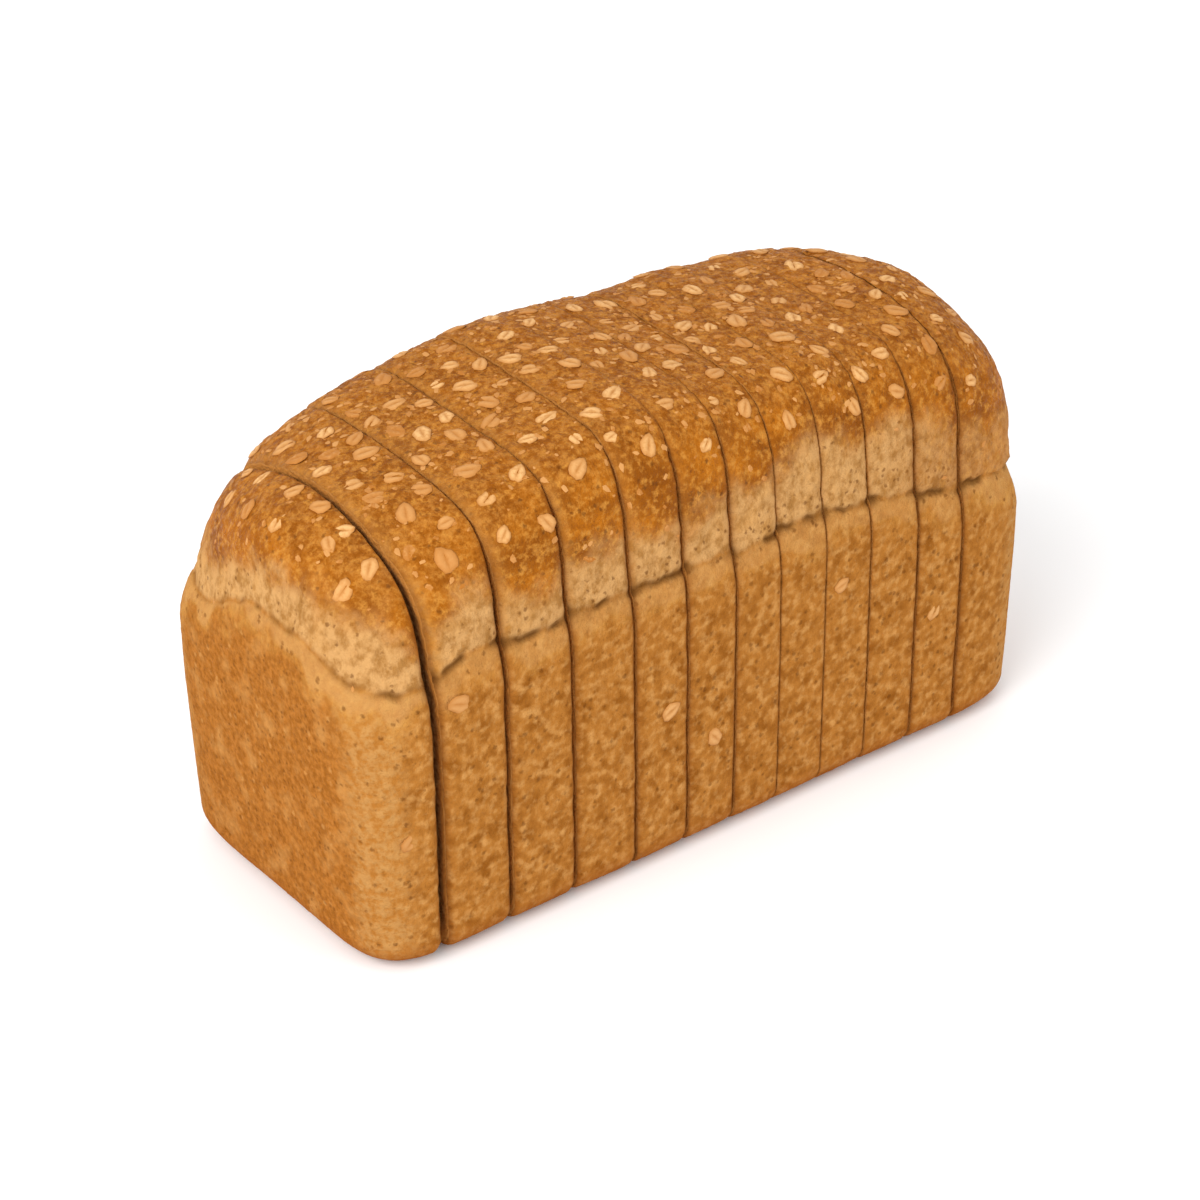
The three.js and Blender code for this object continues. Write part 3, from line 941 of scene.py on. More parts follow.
def add_node(tree, kind, inputs, **settings):
    node = tree.nodes.new(kind)
    for key, value in settings.items():
        setattr(node, key, value)
    for key, value in inputs.items():
        if isinstance(value, bpy.types.NodeSocket):
            tree.links.new(value, node.inputs[key])
        else:
            node.inputs[key].default_value = value
    return node


def attribute(tree, name):
    return add_node(tree, "ShaderNodeAttribute", {}, attribute_name=name).outputs["Fac"]


def calc(tree, operation, first, second=0.0):
    inputs = {0: first, 1: second}
    return add_node(tree, "ShaderNodeMath", inputs, operation=operation).outputs[0]


def spread(tree, value, low, high, to_low=0.0, to_high=1.0):
    """Stretches the part of a value between low and high, and cuts off the rest."""
    inputs = {"Value": value, "From Min": low, "From Max": high, "To Min": to_low, "To Max": to_high}
    return add_node(tree, "ShaderNodeMapRange", inputs).outputs["Result"]


def blend(tree, share, first, second, mode="MIX"):
    inputs = {0: share, 6: first, 7: second}
    node = add_node(tree, "ShaderNodeMix", inputs, data_type="RGBA", blend_type=mode)
    return node.outputs[2]


def noise(tree, place, size_mm, detail=3.0, rough=0.55):
    inputs = {"Vector": place, "Scale": 1 / (size_mm * MM), "Detail": detail, "Roughness": rough}
    return add_node(tree, "ShaderNodeTexNoise", inputs).outputs["Fac"]


def speck(tree, place, size_mm, keep, radius, stretch=None):
    """Small spots on scattered points: keep is the share of points that have one."""
    if stretch:
        moved = add_node(tree, "ShaderNodeMapping", {"Vector": place, "Scale": stretch})
        place = moved.outputs[0]
    inputs = {"Vector": place, "Scale": 1 / (size_mm * MM), "Randomness": 1.0}
    cell = add_node(tree, "ShaderNodeTexVoronoi", inputs)
    chosen = calc(tree, "LESS_THAN", cell.outputs["Color"], keep)
    near = spread(tree, cell.outputs["Distance"], radius, radius * 0.45)
    return calc(tree, "MULTIPLY", chosen, near)


def new_finish(name):
    material = bpy.data.materials.new(name)
    material.use_nodes = True
    return material, material.node_tree, material.node_tree.nodes["Principled BSDF"]


# %% [markdown]
# ## The crust
#
# One recipe makes the crust of all pieces. It starts with the tin-baked wall: mid brown, full
# of dark and pale bran. The dome goes over it, golden on its flanks and browner on top, then
# the pale break with its fine dark specks, olive-brown painted shade in the crease, the dark
# foot and the pale worn rims of the cuts. Painted shade also darkens the cut lines and the
# notches where a cut crosses the crease. The crumb shows on the cut faces. Colours are set as
# they look in the photograph's light.

# %% Crust finish
WALL_DEEP = linear((138, 82, 25))
WALL_MID = linear((167, 108, 45))
WALL_PALE = linear((198, 145, 82))
FOOT_RED = linear((152, 84, 24))
DOME_DEEP = linear((130, 70, 10))
DOME_MID = linear((166, 96, 18))
DOME_GOLD = linear((193, 131, 54))
TOP_BROWN = linear((166, 105, 42))
BREAK_TAN = linear((192, 145, 90))
BREAK_SHADE = linear((156, 109, 56))
# Painted shade in the crease, and in the notches where cuts cross it.
PAINTED_CREASE_SHADE = linear((84, 50, 18))
BRAN_DARK = linear((88, 46, 12))
BRAN_PALE = linear((204, 150, 86))
RIM_PALE = linear((190, 138, 74))
CRUMB_TAN = linear((176, 134, 84))
CRUMB_SHADE = linear((128, 88, 48))
BAKED_EDGE = linear((186, 122, 56))
# Painted shade along the cut lines.
CUT_LINE_SHADE = linear((124, 70, 24))
END_ORANGE = linear((170, 106, 42))
END_DEEP = linear((142, 84, 26))
CORNER_PALE = linear((184, 136, 78))
BELOW_YELLOW = linear((192, 138, 68))
SHEEN = linear((255, 214, 160))


def ragged(tree, place, size_mm, push_mm):
    """The same places pushed about by noise, so that spots on them lose their round form."""
    inputs = {"Vector": place, "Scale": 1 / (size_mm * MM), "Detail": 2.0}
    push = add_node(tree, "ShaderNodeTexNoise", inputs).outputs["Color"]
    inputs = {0: push, 1: (0.5, 0.5, 0.5)}
    centred = add_node(tree, "ShaderNodeVectorMath", inputs, operation="SUBTRACT").outputs[0]
    inputs = {0: centred, "Scale": push_mm * MM}
    scaled = add_node(tree, "ShaderNodeVectorMath", inputs, operation="SCALE").outputs[0]
    return add_node(tree, "ShaderNodeVectorMath", {0: place, 1: scaled}, operation="ADD").outputs[0]


def wall_colour(tree, place, torn):
    cloud = noise(tree, place, 5.0, 2.0, 0.5)
    grain = noise(tree, place, 2.7, 2.0, 0.5)
    colour = blend(tree, spread(tree, cloud, 0.32, 0.56), WALL_DEEP, WALL_MID)
    colour = blend(tree, spread(tree, grain, 0.47, 0.74, 0.0, 0.75), colour, WALL_PALE)
    colour = blend(tree, spread(tree, grain, 0.44, 0.26, 0.0, 0.55), colour, WALL_DEEP)
    dark = speck(tree, torn, 2.4, 0.3, 0.4)
    pale = speck(tree, torn, 3.4, 0.16, 0.42)
    blotch = speck(tree, torn, 7.5, 0.4, 0.34)
    colour = blend(tree, calc(tree, "MULTIPLY", blotch, 0.4), colour, BRAN_PALE)
    colour = blend(tree, calc(tree, "MULTIPLY", pale, 0.4), colour, BRAN_PALE)
    return blend(tree, calc(tree, "MULTIPLY", dark, 0.5), colour, BRAN_DARK)


def end_colour(tree, place, torn):
    grain = noise(tree, place, 1.9, 3.0, 0.6)
    cloud = noise(tree, place, 9.0, 3.0)
    colour = blend(tree, spread(tree, grain, 0.4, 0.62), END_DEEP, END_ORANGE)
    colour = blend(tree, spread(tree, cloud, 0.5, 0.7, 0.0, 0.5), colour, WALL_PALE)
    dark = speck(tree, torn, 2.0, 0.42, 0.38)
    pale = speck(tree, torn, 3.0, 0.25, 0.36)
    colour = blend(tree, calc(tree, "MULTIPLY", pale, 0.4), colour, BRAN_PALE)
    return blend(tree, calc(tree, "MULTIPLY", dark, 0.5), colour, BRAN_DARK)


def corner_colour(tree, place, torn):
    grain = noise(tree, place, 2.4, 3.0, 0.6)
    colour = blend(tree, spread(tree, grain, 0.38, 0.6), WALL_MID, CORNER_PALE)
    dark = speck(tree, torn, 2.4, 0.38, 0.38)
    return blend(tree, calc(tree, "MULTIPLY", dark, 0.65), colour, BRAN_DARK)


def dome_colour(tree, place, torn):
    patch = noise(tree, place, 11.0, 4.0, 0.55)
    fine = noise(tree, place, 2.3, 3.0, 0.65)
    colour = blend(tree, spread(tree, patch, 0.38, 0.6), DOME_DEEP, DOME_MID)
    colour = blend(tree, spread(tree, fine, 0.48, 0.68, 0.0, 0.8), colour, DOME_GOLD)
    colour = blend(tree, spread(tree, fine, 0.44, 0.3, 0.0, 0.7), colour, DOME_DEEP)
    brown = blend(tree, spread(tree, fine, 0.38, 0.58), DOME_DEEP, TOP_BROWN)
    crumbs = spread(tree, noise(tree, place, 1.5, 2.0), 0.54, 0.7)
    brown = blend(tree, crumbs, brown, DOME_GOLD)
    top = calc(tree, "MULTIPLY", attribute(tree, "top"), 0.6)
    colour = blend(tree, top, colour, brown)
    dark = speck(tree, torn, 2.2, 0.3, 0.38)
    return blend(tree, calc(tree, "MULTIPLY", dark, 0.6), colour, BRAN_DARK)


def break_colour(tree, place, torn):
    strand = add_node(tree, "ShaderNodeMapping", {"Vector": place, "Scale": (1.0, 1.0, 0.75)})
    streak = noise(tree, strand.outputs[0], 3.0, 3.0, 0.6)
    colour = blend(tree, spread(tree, streak, 0.36, 0.58), BREAK_SHADE, BREAK_TAN)
    golden = noise(tree, place, 8.0, 2.0)
    colour = blend(tree, spread(tree, golden, 0.5, 0.7, 0.0, 0.35), colour, WALL_PALE)
    dark = speck(tree, torn, 2.0, 0.3, 0.4)
    return blend(tree, calc(tree, "MULTIPLY", dark, 0.6), colour, BRAN_DARK)


def crumb_colour(tree, place):
    pores = noise(tree, place, 2.4, 3.0)
    return blend(tree, spread(tree, pores, 0.4, 0.6), CRUMB_SHADE, CRUMB_TAN)


def crust_finish(name, end_tint, corner_tint, below_tint):
    material, tree, shader = new_finish(name)
    place = add_node(tree, "ShaderNodeTexCoord", {}).outputs["Object"]
    torn = ragged(tree, place, 0.9, 1.3)

    def over(colour, mask, share, second):
        return blend(tree, calc(tree, "MULTIPLY", attribute(tree, mask), share), colour, second)

    colour = wall_colour(tree, place, torn)
    colour = over(colour, "end_face", end_tint, end_colour(tree, place, torn))
    colour = over(colour, "corner", corner_tint, corner_colour(tree, place, torn))
    mottle = spread(tree, noise(tree, place, 2.6, 3.0, 0.6), 0.36, 0.62)
    below = blend(tree, mottle, WALL_MID, BELOW_YELLOW)
    near_crease = spread(tree, attribute(tree, "below"), 0.7, 1.0, 0.0, 0.5)
    below = blend(tree, near_crease, below, BREAK_TAN)
    below = blend(tree, calc(tree, "MULTIPLY", speck(tree, torn, 2.4, 0.32, 0.38), 0.6), below, BRAN_DARK)
    colour = over(colour, "below", below_tint, below)
    colour = over(colour, "foot", 0.75, FOOT_RED)
    colour = over(colour, "dome", 1.0, dome_colour(tree, place, torn))
    colour = over(colour, "break_band", 1.0, break_colour(tree, place, torn))
    # Painted shade in the crease groove.
    colour = over(colour, "crease", 0.85, PAINTED_CREASE_SHADE)
    strip = blend(tree, mottle, DOME_GOLD, RIM_PALE)
    colour = over(colour, "rim", 0.75, strip)
    # Painted shade along the cut lines.
    colour = over(colour, "seam", 0.75, CUT_LINE_SHADE)
    # Painted shade in the notches where cuts cross the crease.
    colour = over(colour, "notch_shade", 0.8, PAINTED_CREASE_SHADE)
    colour = over(colour, "crumb", 1.0, crumb_colour(tree, place))
    colour = over(colour, "baked", 1.0, BAKED_EDGE)
    tree.links.new(colour, shader.inputs["Base Color"])
    fine = noise(tree, place, 1.6, 3.0, 0.6)
    shine = calc(tree, "SUBTRACT", attribute(tree, "dome"), attribute(tree, "break_band"))
    gloss = calc(tree, "MULTIPLY", shine, spread(tree, fine, 0.4, 0.62, 0.6, 1.3))
    tree.links.new(spread(tree, gloss, 0.0, 1.3, 0.9, 0.42), shader.inputs["Roughness"])
    tree.links.new(spread(tree, shine, 0.0, 1.0, 0.05, 0.1), shader.inputs["Specular IOR Level"])
    shader.inputs["Specular Tint"].default_value = SHEEN
    grit = calc(tree, "ADD", noise(tree, place, 1.0, 3.0, 0.6), noise(tree, place, 2.4, 3.0))
    bump = add_node(tree, "ShaderNodeBump", {"Height": grit, "Strength": 0.7, "Distance": 0.0011})
    tree.links.new(bump.outputs["Normal"], shader.inputs["Normal"])
    return material


slice_finish = crust_finish("sliced crust", 0.0, 0.0, 0.5)
heel_finish = crust_finish("heel crust", 0.9, 0.75, 0.75)
for piece, crust in zip(pieces, crust_objects):
    crust.data.materials.append(heel_finish if piece["is_heel"] else slice_finish)
print("crust finishes:", slice_finish.name, "and", heel_finish.name)

# %% [markdown]
# ## Where the oat flakes lie
#
# The flakes are thrown on before baking, so they land from above: many on the top, few on the
# steep flanks. The solids have them too. The same rule with the same draw gives nearly the same
# places here: a few chosen flakes that catch the eye first, then the rest from the largest to
# the smallest, each clear of those that lie there already and clear of the cuts.

# %% The flakes' places
FLAKE_COUNT = 180
FLAKE_LONGEST = 8.6
FLAKE_SHORTEST = 5.8
FLAKE_WIDTH_SHARE = 0.72
FLAKE_SPACING = (1.12, 1.75)
FLAKE_MARGIN = 0.35
FLAKE_SPREAD = 0.93
FLAKE_DRAWS = 9000
BARE_HEEL = 18.0
CHOSEN_FLAKES = [
    (-115, 15, 7.2, 25),
    (-115, 0, 7.8, 15),
    (-110, -18, 7, 60),
    (-105, -18, 7, -45),
    (-114, -30, 7.4, 10),
    (-106, -31, 6.8, 40),
    (-105, 23, 7, -10),
    (-106, 5, 7, -40),
    (-105, -7, 6.4, -35),
    (-89, -43, 8.6, 75),
    (-90, -26, 7.6, 60),
    (-81, -22, 7.2, -35),
    (-84, 2, 7.8, -20),
    (-69, -25, 8.4, -35),
    (-71, -37, 6.8, 20),
    (-44, -42, 8.2, 30),
    (-46, 8, 7.6, -30),
    (-24, -15, 8, -40),
    (-21, -44, 8.2, 60),
    (-8, -35, 7.8, -10),
    (16, -11, 8.4, -30),
    (17, -28, 7.2, 10),
    (15, -42, 7.6, 50),
]


def lay_flake(aimed_x, y, length, turn):
    home = next((piece for piece in pieces if aimed_x < piece["to"] + 1), pieces[-1])
    half_along = math.hypot(math.cos(turn), FLAKE_WIDTH_SHARE * math.sin(turn)) * length / 2
    reach = half_along + FLAKE_MARGIN
    x = min(max(aimed_x, home["from"] + reach), home["to"] - reach)
    return {"x": x, "y": y, "z": float(dome_top(x, y)), "turn": turn, "length": length, "home": home}


def strew_flakes():
    flakes = [lay_flake(x, y, length, math.radians(turn)) for x, y, length, turn in CHOSEN_FLAKES]
    for _ in range(FLAKE_DRAWS):
        if len(flakes) >= FLAKE_COUNT:
            break
        length = mix(FLAKE_LONGEST, FLAKE_SHORTEST, len(flakes) / FLAKE_COUNT)
        aimed_x = (2 * draw() - 1) * LOAF_END * FLAKE_SPREAD
        y = (2 * draw() - 1) * DOME_HALF_WIDTH * FLAKE_SPREAD
        flake = lay_flake(aimed_x, y, length, draw() * math.pi)
        crease_level = dome_level(np.zeros(1))
        off_dome = room_left(crease_level, flake["x"] / FLAKE_SPREAD, y / FLAKE_SPREAD)[0] < 0
        if off_dome or (flake["home"] is pieces[0] and y < BARE_HEEL):
            continue
        spacing = length * mix(*FLAKE_SPACING, smooth(abs(y) / DOME_HALF_WIDTH))
        here = np.array([flake["x"], y, flake["z"]])
        if all(math.dist(here, (f["x"], f["y"], f["z"])) > spacing for f in flakes):
            flakes.append(flake)
    return flakes


def settle_on_crust(flakes):
    """The flakes' centres on the bumpy crust, and the way each faces."""
    places = np.array([(f["x"], f["y"], f["z"]) for f in flakes])
    normals = slope_normals(places[:, 0], places[:, 1])
    height = relief(places, zone_masks(places, normals))
    settled = places + normals * height[:, None]
    settled[:, 1] *= [f["home"]["width_scale"] for f in flakes]
    settled[:, 2] *= [f["home"]["height_scale"] for f in flakes]
    return settled, normals


flakes = strew_flakes()
flake_places, flake_normals = settle_on_crust(flakes)
print(len(flakes), "flakes, the last drawn", round(flakes[-1]["length"], 1), "mm long")

# %% [markdown]
# ## Four rolled oats
#
# A rolled oat is an oval disc, thin at its ragged rim, with the groove of the grain along its
# middle. Four forms are enough, as each is turned, sized and toasted on its own. The mesh is
# rings round the middle, first over the top, then under the flake back to the middle, so it is
# closed.

# %% Forms of a flake
FLAKE_SECTORS = 14
TOP_RINGS = (0.34, 0.66, 0.9, 1.0)
UNDER_RINGS = (0.7,)
FORM_WIDTH = 0.82
FLAKE_THICKNESS = 0.15  # of the flake's length


def flake_form(number):
    """One flake, 1 long, lying on its middle: points, faces, and how near the rim each is."""
    turns = np.arange(FLAKE_SECTORS) * 2 * math.pi / FLAKE_SECTORS
    ragged_rim = 1 + 0.07 * np.sin(2 * turns + number) + 0.07 * np.sin(3 * turns + 2.1 * number)
    ragged_rim += 0.06 * np.sin(5 * turns + 1.3 * number)
    points = [(0.0, 0.0, 0.3 * FLAKE_THICKNESS)]
    rim = [0.0]
    grooved = [1.0]
    rings = [(share, True) for share in TOP_RINGS] + [(share, False) for share in UNDER_RINGS]
    for share, is_top in rings:
        x = 0.5 * share * ragged_rim * np.cos(turns)
        y = 0.5 * FORM_WIDTH * share * ragged_rim * np.sin(turns)
        crown = FLAKE_THICKNESS * (0.75 - 0.55 * share**3)
        groove = 0.4 * FLAKE_THICKNESS * np.exp(-((y / 0.06) ** 2)) * (1 - share**2)
        ripple = 0.014 * np.sin(3 * turns + number) * share + 0.03 * x * math.cos(number)
        z = crown - groove + ripple if is_top else ripple - 0.4 * FLAKE_THICKNESS
        points += list(zip(x, y, z))
        rim += [share] * FLAKE_SECTORS
        grooved += list(np.exp(-((y / 0.07) ** 2)) * (1 - share**2))
    points.append((0.0, 0.0, -0.45 * FLAKE_THICKNESS))
    rim.append(1.0)
    grooved.append(0.0)
    count = FLAKE_SECTORS
    faces = [(0, 1 + k, 1 + (k + 1) % count) for k in range(count)]
    for ring in range(len(rings) - 1):
        low = 1 + ring * count
        for k in range(count):
            after = (k + 1) % count
            faces.append((low + k, low + count + k, low + count + after, low + after))
    low = 1 + (len(rings) - 1) * count
    bottom = len(points) - 1
    faces += [(low + k, bottom, low + (k + 1) % count) for k in range(count)]
    marks = {"flake_rim": rim, "flake_groove": grooved}
    return np.array(points), faces, marks


def flake_collection():
    kinds = bpy.data.collections.new("oat forms")
    for number in range(4):
        points, faces, marks = flake_form(number)
        data = bpy.data.meshes.new(f"oat form {number}")
        data.from_pydata(points.tolist(), [], faces)
        data.polygons.foreach_set("use_smooth", [True] * len(data.polygons))
        for key, values in marks.items():
            values = np.array(values, dtype=np.float32)
            data.attributes.new(key, "FLOAT", "POINT").data.foreach_set("value", values)
        kinds.objects.link(bpy.data.objects.new(f"oat form {number}", data))
    return kinds


oat_forms = flake_collection()

# %% [markdown]
# ## Strewing with Geometry Nodes
#
# The places are points that carry their own facing, turn, length and toasting. Geometry Nodes
# put a flake on each: the tree picks one of the four forms by a seeded draw, turns and sizes
# it, makes it real mesh and gives it its finish. The same tree serves anything that is strewn
# on a crust.

# %% The strewing tree
def tree_input(tree, name, kind, value=None):
    socket = tree.interface.new_socket(name, in_out="INPUT", socket_type=kind)
    if value is not None:
        socket.default_value = value
    return socket


def named(tree, name, kind):
    node = add_node(tree, "GeometryNodeInputNamedAttribute", {"Name": name}, data_type=kind)
    return node.outputs["Attribute"]


def strewing_tree():
    tree = bpy.data.node_groups.new("strew on crust", "GeometryNodeTree")
    tree.interface.new_socket("Geometry", in_out="OUTPUT", socket_type="NodeSocketGeometry")
    tree_input(tree, "Geometry", "NodeSocketGeometry")
    tree_input(tree, "Forms", "NodeSocketCollection")
    tree_input(tree, "Size share", "NodeSocketFloat", 1.0)
    tree_input(tree, "Thickness share", "NodeSocketFloat", 1.0)
    tree_input(tree, "Seed", "NodeSocketInt", 5)
    tree_input(tree, "Finish", "NodeSocketMaterial")
    entry = tree.nodes.new("NodeGroupInput")
    forms = add_node(tree, "GeometryNodeCollectionInfo", {
        "Collection": entry.outputs["Forms"], "Separate Children": True, "Reset Children": True,
    })
    pick = add_node(tree, "FunctionNodeRandomValue", {}, data_type="INT")
    pick.inputs[4].default_value = 0
    pick.inputs[5].default_value = 3
    tree.links.new(entry.outputs["Seed"], pick.inputs["Seed"])
    facing = add_node(tree, "FunctionNodeAlignRotationToVector", {
        "Vector": named(tree, "facing", "FLOAT_VECTOR"),
    }, axis="Z")
    spin = add_node(tree, "FunctionNodeAxisAngleToRotation", {
        "Axis": (0.0, 0.0, 1.0), "Angle": named(tree, "turn", "FLOAT"),
    })
    turned = add_node(tree, "FunctionNodeRotateRotation", {
        "Rotation": facing.outputs[0], "Rotate By": spin.outputs[0],
    }, rotation_space="LOCAL")
    length = add_node(tree, "ShaderNodeMath", {
        0: named(tree, "length", "FLOAT"), 1: entry.outputs["Size share"],
    }, operation="MULTIPLY").outputs[0]
    thick = add_node(tree, "ShaderNodeMath", {
        0: length, 1: entry.outputs["Thickness share"],
    }, operation="MULTIPLY").outputs[0]
    size = add_node(tree, "ShaderNodeCombineXYZ", {"X": length, "Y": length, "Z": thick})
    placed = add_node(tree, "GeometryNodeInstanceOnPoints", {
        "Points": entry.outputs["Geometry"],
        "Instance": forms.outputs[0],
        "Pick Instance": True,
        "Instance Index": pick.outputs[2],
        "Rotation": turned.outputs[0],
        "Scale": size.outputs[0],
    })
    real = add_node(tree, "GeometryNodeRealizeInstances", {"Geometry": placed.outputs[0]})
    finished = add_node(tree, "GeometryNodeSetMaterial", {
        "Geometry": real.outputs[0], "Material": entry.outputs["Finish"],
    })
    leave = tree.nodes.new("NodeGroupOutput")
    tree.links.new(finished.outputs[0], leave.inputs["Geometry"])
    return tree


def strew(name, places, carried, settings, tree):
    """A plain mesh of everything strewn on the places, from the values that they carry."""
    data = bpy.data.meshes.new(name + " places")
    data.from_pydata((places * MM).tolist(), [], [])
    for key, values in carried.items():
        values = np.asarray(values, dtype=np.float32)
        kind, field = ("FLOAT_VECTOR", "vector") if values.ndim == 2 else ("FLOAT", "value")
        data.attributes.new(key, kind, "POINT").data.foreach_set(field, values.ravel())
    holder = bpy.data.objects.new(name + " places", data)
    bpy.context.scene.collection.objects.link(holder)
    modifier = holder.modifiers.new("strew", "NODES")
    modifier.node_group = tree
    for item in tree.interface.items_tree:
        if item.name in settings:
            modifier[item.identifier] = settings[item.name]
    bpy.context.view_layer.update()
    evaluated = holder.evaluated_get(bpy.context.evaluated_depsgraph_get())
    mesh = bpy.data.meshes.new_from_object(evaluated)
    mesh.name = name
    holder.modifiers.remove(modifier)
    bpy.data.objects.remove(holder)
    made = bpy.data.objects.new(name, mesh)
    bpy.context.scene.collection.objects.link(made)
    return made


# %% [markdown]
# ## The oats' finish
#
# Rolled oats bake to a dry cream, some more toasted than others, with a darker groove and a
# browned rim where they are thinnest. Each flake carries its own toasting, which the finish
# reads, and fine noise gives the fibres.

# %% Oat finish
OAT_CREAM = linear((216, 168, 110))
OAT_TAN = linear((192, 136, 78))
OAT_TOASTED = linear((168, 104, 40))


def oat_finish():
    material, tree, shader = new_finish("rolled oats")
    place = add_node(tree, "ShaderNodeTexCoord", {}).outputs["Object"]
    toast = attribute(tree, "toast")
    fibres = noise(tree, place, 1.1, 3.0)
    colour = blend(tree, spread(tree, toast, 0.15, 0.7), OAT_CREAM, OAT_TAN)
    colour = blend(tree, spread(tree, toast, 0.7, 1.1), colour, OAT_TOASTED)
    colour = blend(tree, spread(tree, fibres, 0.5, 0.68, 0.0, 0.8), colour, OAT_TAN)
    browned = spread(tree, attribute(tree, "flake_rim"), 0.6, 1.0, 0.0, 0.7)
    colour = blend(tree, browned, colour, OAT_TOASTED)
    groove = calc(tree, "MULTIPLY", attribute(tree, "flake_groove"), 0.75)
    colour = blend(tree, groove, colour, OAT_TOASTED)
    tree.links.new(colour, shader.inputs["Base Color"])
    shader.inputs["Roughness"].default_value = 0.6
    shader.inputs["Specular IOR Level"].default_value = 0.2
    shader.inputs["Specular Tint"].default_value = SHEEN
    bump = add_node(tree, "ShaderNodeBump", {"Height": fibres, "Strength": 0.4, "Distance": 0.0004})
    tree.links.new(bump.outputs["Normal"], shader.inputs["Normal"])
    return material


TOAST_SEED = 8
SINK_DEPTHS = (0.1, 0.4)
FLAKE_SIZES = (0.78, 0.98)
random = np.random.default_rng(TOAST_SEED)
sinks = random.uniform(*SINK_DEPTHS, len(flakes))
sizes = random.uniform(*FLAKE_SIZES, len(flakes))
oats = oat_finish()
strewing = strewing_tree()
oat_flakes = strew(
    "oat_flakes",
    flake_places - flake_normals * sinks[:, None],
    {
        "facing": flake_normals,
        "turn": [flake["turn"] for flake in flakes],
        "length": [flake["length"] * size * MM for flake, size in zip(flakes, sizes)],
        "toast": random.uniform(0.0, 1.0, len(flakes)),
    },
    {"Forms": oat_forms, "Size share": 1.0, "Thickness share": 1.0, "Seed": 5, "Finish": oats},
    strewing,
)
print("oat flakes:", len(oat_flakes.data.polygons), "faces")

# %% [markdown]
# ## Flakes pressed into the wall
#
# A few flakes slid down between dough and tin before baking. They are pressed flat into the
# wall, where they show as pale marks. The same tree strews them, thinner and sunk deeper.

# %% Pressed flakes
PRESSED_FLAKES = [
    (-111.0, 44.5, 6.8, 40),
    (-94.0, 83.0, 7.4, -20),
    (-21.5, 52.0, 6.6, 25),
    (-5.0, 36.5, 6.4, -50),
    (43.0, 70.0, 5.6, 15),
    (81.2, 47.0, 6.2, 60),
]
PRESSED_SINK = 0.3


def wall_point(x, z):
    level = wall_level(np.array([z / float(crease_height(x, -WALL_HALF_WIDTH))]))
    return np.array([x, -float(half_width(level, x)[0]), z])


pressed_places = np.array([wall_point(x, z) for x, z, _, _ in PRESSED_FLAKES])
facing_out = np.tile([0.0, -1.0, 0.0], (len(PRESSED_FLAKES), 1))
pressed_relief = relief(pressed_places, zone_masks(pressed_places, facing_out)) - PRESSED_SINK
pressed_flakes = strew(
    "pressed_flakes",
    pressed_places + facing_out * pressed_relief[:, None],
    {
        "facing": facing_out,
        "turn": [math.radians(turn) for _, _, _, turn in PRESSED_FLAKES],
        "length": [length * MM for _, _, length, _ in PRESSED_FLAKES],
        "toast": [0.7, 0.65, 0.45, 0.5, 0.6, 0.5],
    },
    {"Forms": oat_forms, "Size share": 1.0, "Thickness share": 0.5, "Seed": 3, "Finish": oats},
    strewing,
)
print("pressed flakes:", len(pressed_flakes.data.polygons), "faces")

# %% [markdown]
# ## Broken oats and bran
#
# Between the whole flakes lie crumbs of oat and bran, one to three millimetres across. Nobody
# places those one by one. Geometry Nodes scatter them over the crust itself, densest where the
# mask on it says that the crust faces up, and give each its own turn, size and toasting.

# %% Scattering the bits
BIT_DENSITY = 46000.0  # to a square metre where the mask is full
BIT_SIZES = (1.0, 2.8)
BIT_THICKNESS = 0.3
BIT_TOASTS = (0.65, 1.15)
BIT_SEED = 12


def bit_form(number):
    turns = np.arange(6) * math.pi / 3
    uneven = 1 + 0.25 * np.sin(2 * turns + 1.7 * number) + 0.12 * np.sin(3 * turns + number)
    rings = [(0.5, 0.0), (0.34, 0.32), (0.3, -0.3)]
    points = [(0.0, 0.0, 0.42)]
    for radius, height in (rings[1], rings[0], rings[2]):
        x = radius * uneven * np.cos(turns)
        y = 0.75 * radius * uneven * np.sin(turns)
        points += list(zip(x, y, np.full(6, height)))
    points.append((0.0, 0.0, -0.35))
    faces = [(0, 1 + k, 1 + (k + 1) % 6) for k in range(6)]
    for low in (1, 7):
        faces += [(low + k, low + 6 + k, low + 6 + (k + 1) % 6, low + (k + 1) % 6) for k in range(6)]
    faces += [(13 + k, 19, 13 + (k + 1) % 6) for k in range(6)]
    return np.array(points), faces


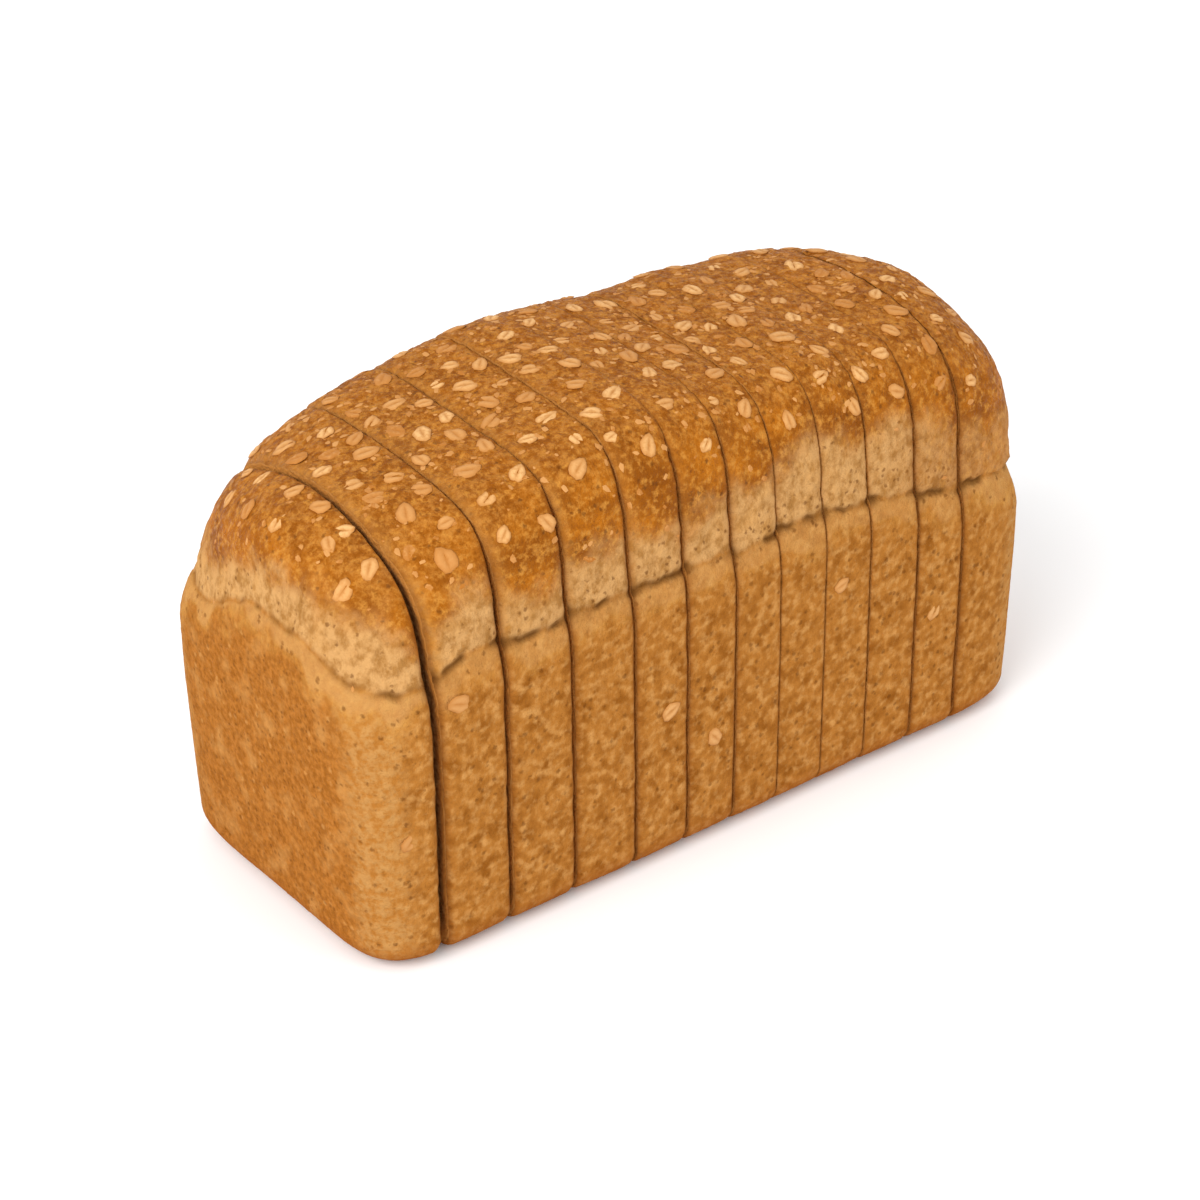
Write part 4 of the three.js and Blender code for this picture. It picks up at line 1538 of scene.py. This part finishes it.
def scattering_tree():
    tree = bpy.data.node_groups.new("scatter over crust", "GeometryNodeTree")
    tree.interface.new_socket("Geometry", in_out="OUTPUT", socket_type="NodeSocketGeometry")
    tree_input(tree, "Geometry", "NodeSocketGeometry")
    tree_input(tree, "Crusts", "NodeSocketCollection")
    tree_input(tree, "Forms", "NodeSocketCollection")
    tree_input(tree, "Density", "NodeSocketFloat", 1.0)
    tree_input(tree, "Smallest", "NodeSocketFloat", 1.0)
    tree_input(tree, "Largest", "NodeSocketFloat", 1.0)
    tree_input(tree, "Thickness share", "NodeSocketFloat", 1.0)
    tree_input(tree, "Least toasted", "NodeSocketFloat", 0.0)
    tree_input(tree, "Most toasted", "NodeSocketFloat", 1.0)
    tree_input(tree, "Seed", "NodeSocketInt", 5)
    tree_input(tree, "Finish", "NodeSocketMaterial")
    entry = tree.nodes.new("NodeGroupInput").outputs
    crusts = add_node(tree, "GeometryNodeCollectionInfo", {"Collection": entry["Crusts"]})
    surface = add_node(tree, "GeometryNodeRealizeInstances", {"Geometry": crusts.outputs[0]})
    density = add_node(tree, "ShaderNodeMath", {
        0: named(tree, "sprinkle", "FLOAT"), 1: entry["Density"],
    }, operation="MULTIPLY").outputs[0]
    strewn = add_node(tree, "GeometryNodeDistributePointsOnFaces", {
        "Mesh": surface.outputs[0], "Density": density, "Seed": entry["Seed"],
    })
    toast = tree.nodes.new("FunctionNodeRandomValue")
    tree.links.new(entry["Seed"], toast.inputs["Seed"])
    tree.links.new(entry["Least toasted"], toast.inputs[2])
    tree.links.new(entry["Most toasted"], toast.inputs[3])
    marked = add_node(tree, "GeometryNodeStoreNamedAttribute", {
        "Geometry": strewn.outputs["Points"], "Name": "toast", "Value": toast.outputs[1],
    }, data_type="FLOAT", domain="POINT")
    forms = add_node(tree, "GeometryNodeCollectionInfo", {
        "Collection": entry["Forms"], "Separate Children": True, "Reset Children": True,
    })
    spin = tree.nodes.new("FunctionNodeRandomValue")
    spin.inputs[3].default_value = 2 * math.pi
    turn = add_node(tree, "FunctionNodeAxisAngleToRotation", {
        "Axis": (0.0, 0.0, 1.0), "Angle": spin.outputs[1],
    })
    turned = add_node(tree, "FunctionNodeRotateRotation", {
        "Rotation": strewn.outputs["Rotation"], "Rotate By": turn.outputs[0],
    }, rotation_space="LOCAL")
    drawn = tree.nodes.new("FunctionNodeRandomValue")
    tree.links.new(entry["Smallest"], drawn.inputs[2])
    tree.links.new(entry["Largest"], drawn.inputs[3])
    thick = add_node(tree, "ShaderNodeMath", {
        0: entry["Smallest"], 1: entry["Thickness share"],
    }, operation="MULTIPLY").outputs[0]
    size = add_node(tree, "ShaderNodeCombineXYZ", {
        "X": drawn.outputs[1], "Y": drawn.outputs[1], "Z": thick,
    })
    placed = add_node(tree, "GeometryNodeInstanceOnPoints", {
        "Points": marked.outputs[0],
        "Instance": forms.outputs[0],
        "Pick Instance": True,
        "Rotation": turned.outputs[0],
        "Scale": size.outputs[0],
    })
    real = add_node(tree, "GeometryNodeRealizeInstances", {"Geometry": placed.outputs[0]})
    finished = add_node(tree, "GeometryNodeSetMaterial", {
        "Geometry": real.outputs[0], "Material": entry["Finish"],
    })
    leave = tree.nodes.new("NodeGroupOutput")
    tree.links.new(finished.outputs[0], leave.inputs["Geometry"])
    return tree


bit_forms = bpy.data.collections.new("bit forms")
for number in range(3):
    points, faces = bit_form(number)
    data = bpy.data.meshes.new(f"bit form {number}")
    data.from_pydata(points.tolist(), [], faces)
    bit_forms.objects.link(bpy.data.objects.new(f"bit form {number}", data))
crust_group = bpy.data.collections.new("crusts")
for crust in crust_objects:
    crust_group.objects.link(crust)
oat_bits = strew(
    "oat_bits",
    np.zeros((1, 3)),
    {},
    {
        "Crusts": crust_group,
        "Forms": bit_forms,
        "Density": BIT_DENSITY,
        "Smallest": BIT_SIZES[0] * MM,
        "Largest": BIT_SIZES[1] * MM,
        "Thickness share": BIT_THICKNESS,
        "Least toasted": BIT_TOASTS[0],
        "Most toasted": BIT_TOASTS[1],
        "Seed": BIT_SEED,
        "Finish": oats,
    },
    scattering_tree(),
)
print("oat bits:", len(oat_bits.data.polygons), "faces")

# %% [markdown]
# ## Riding and replacing
#
# The whole loaf is one body. Each crust mesh stands for the solid of its own slice or heel,
# and the flakes and bits lie on top as pieces of their own.

# %% Tell the frame what stands for what
for piece, crust in zip(pieces, crust_objects):
    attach(crust, "root")
    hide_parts(piece["name"])
for strewn in (oat_flakes, pressed_flakes, oat_bits):
    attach(strewn, "root")
for forms in (oat_forms, bit_forms):
    for form in list(forms.objects):
        bpy.data.objects.remove(form)
    bpy.data.collections.remove(forms)
bpy.data.collections.remove(crust_group)
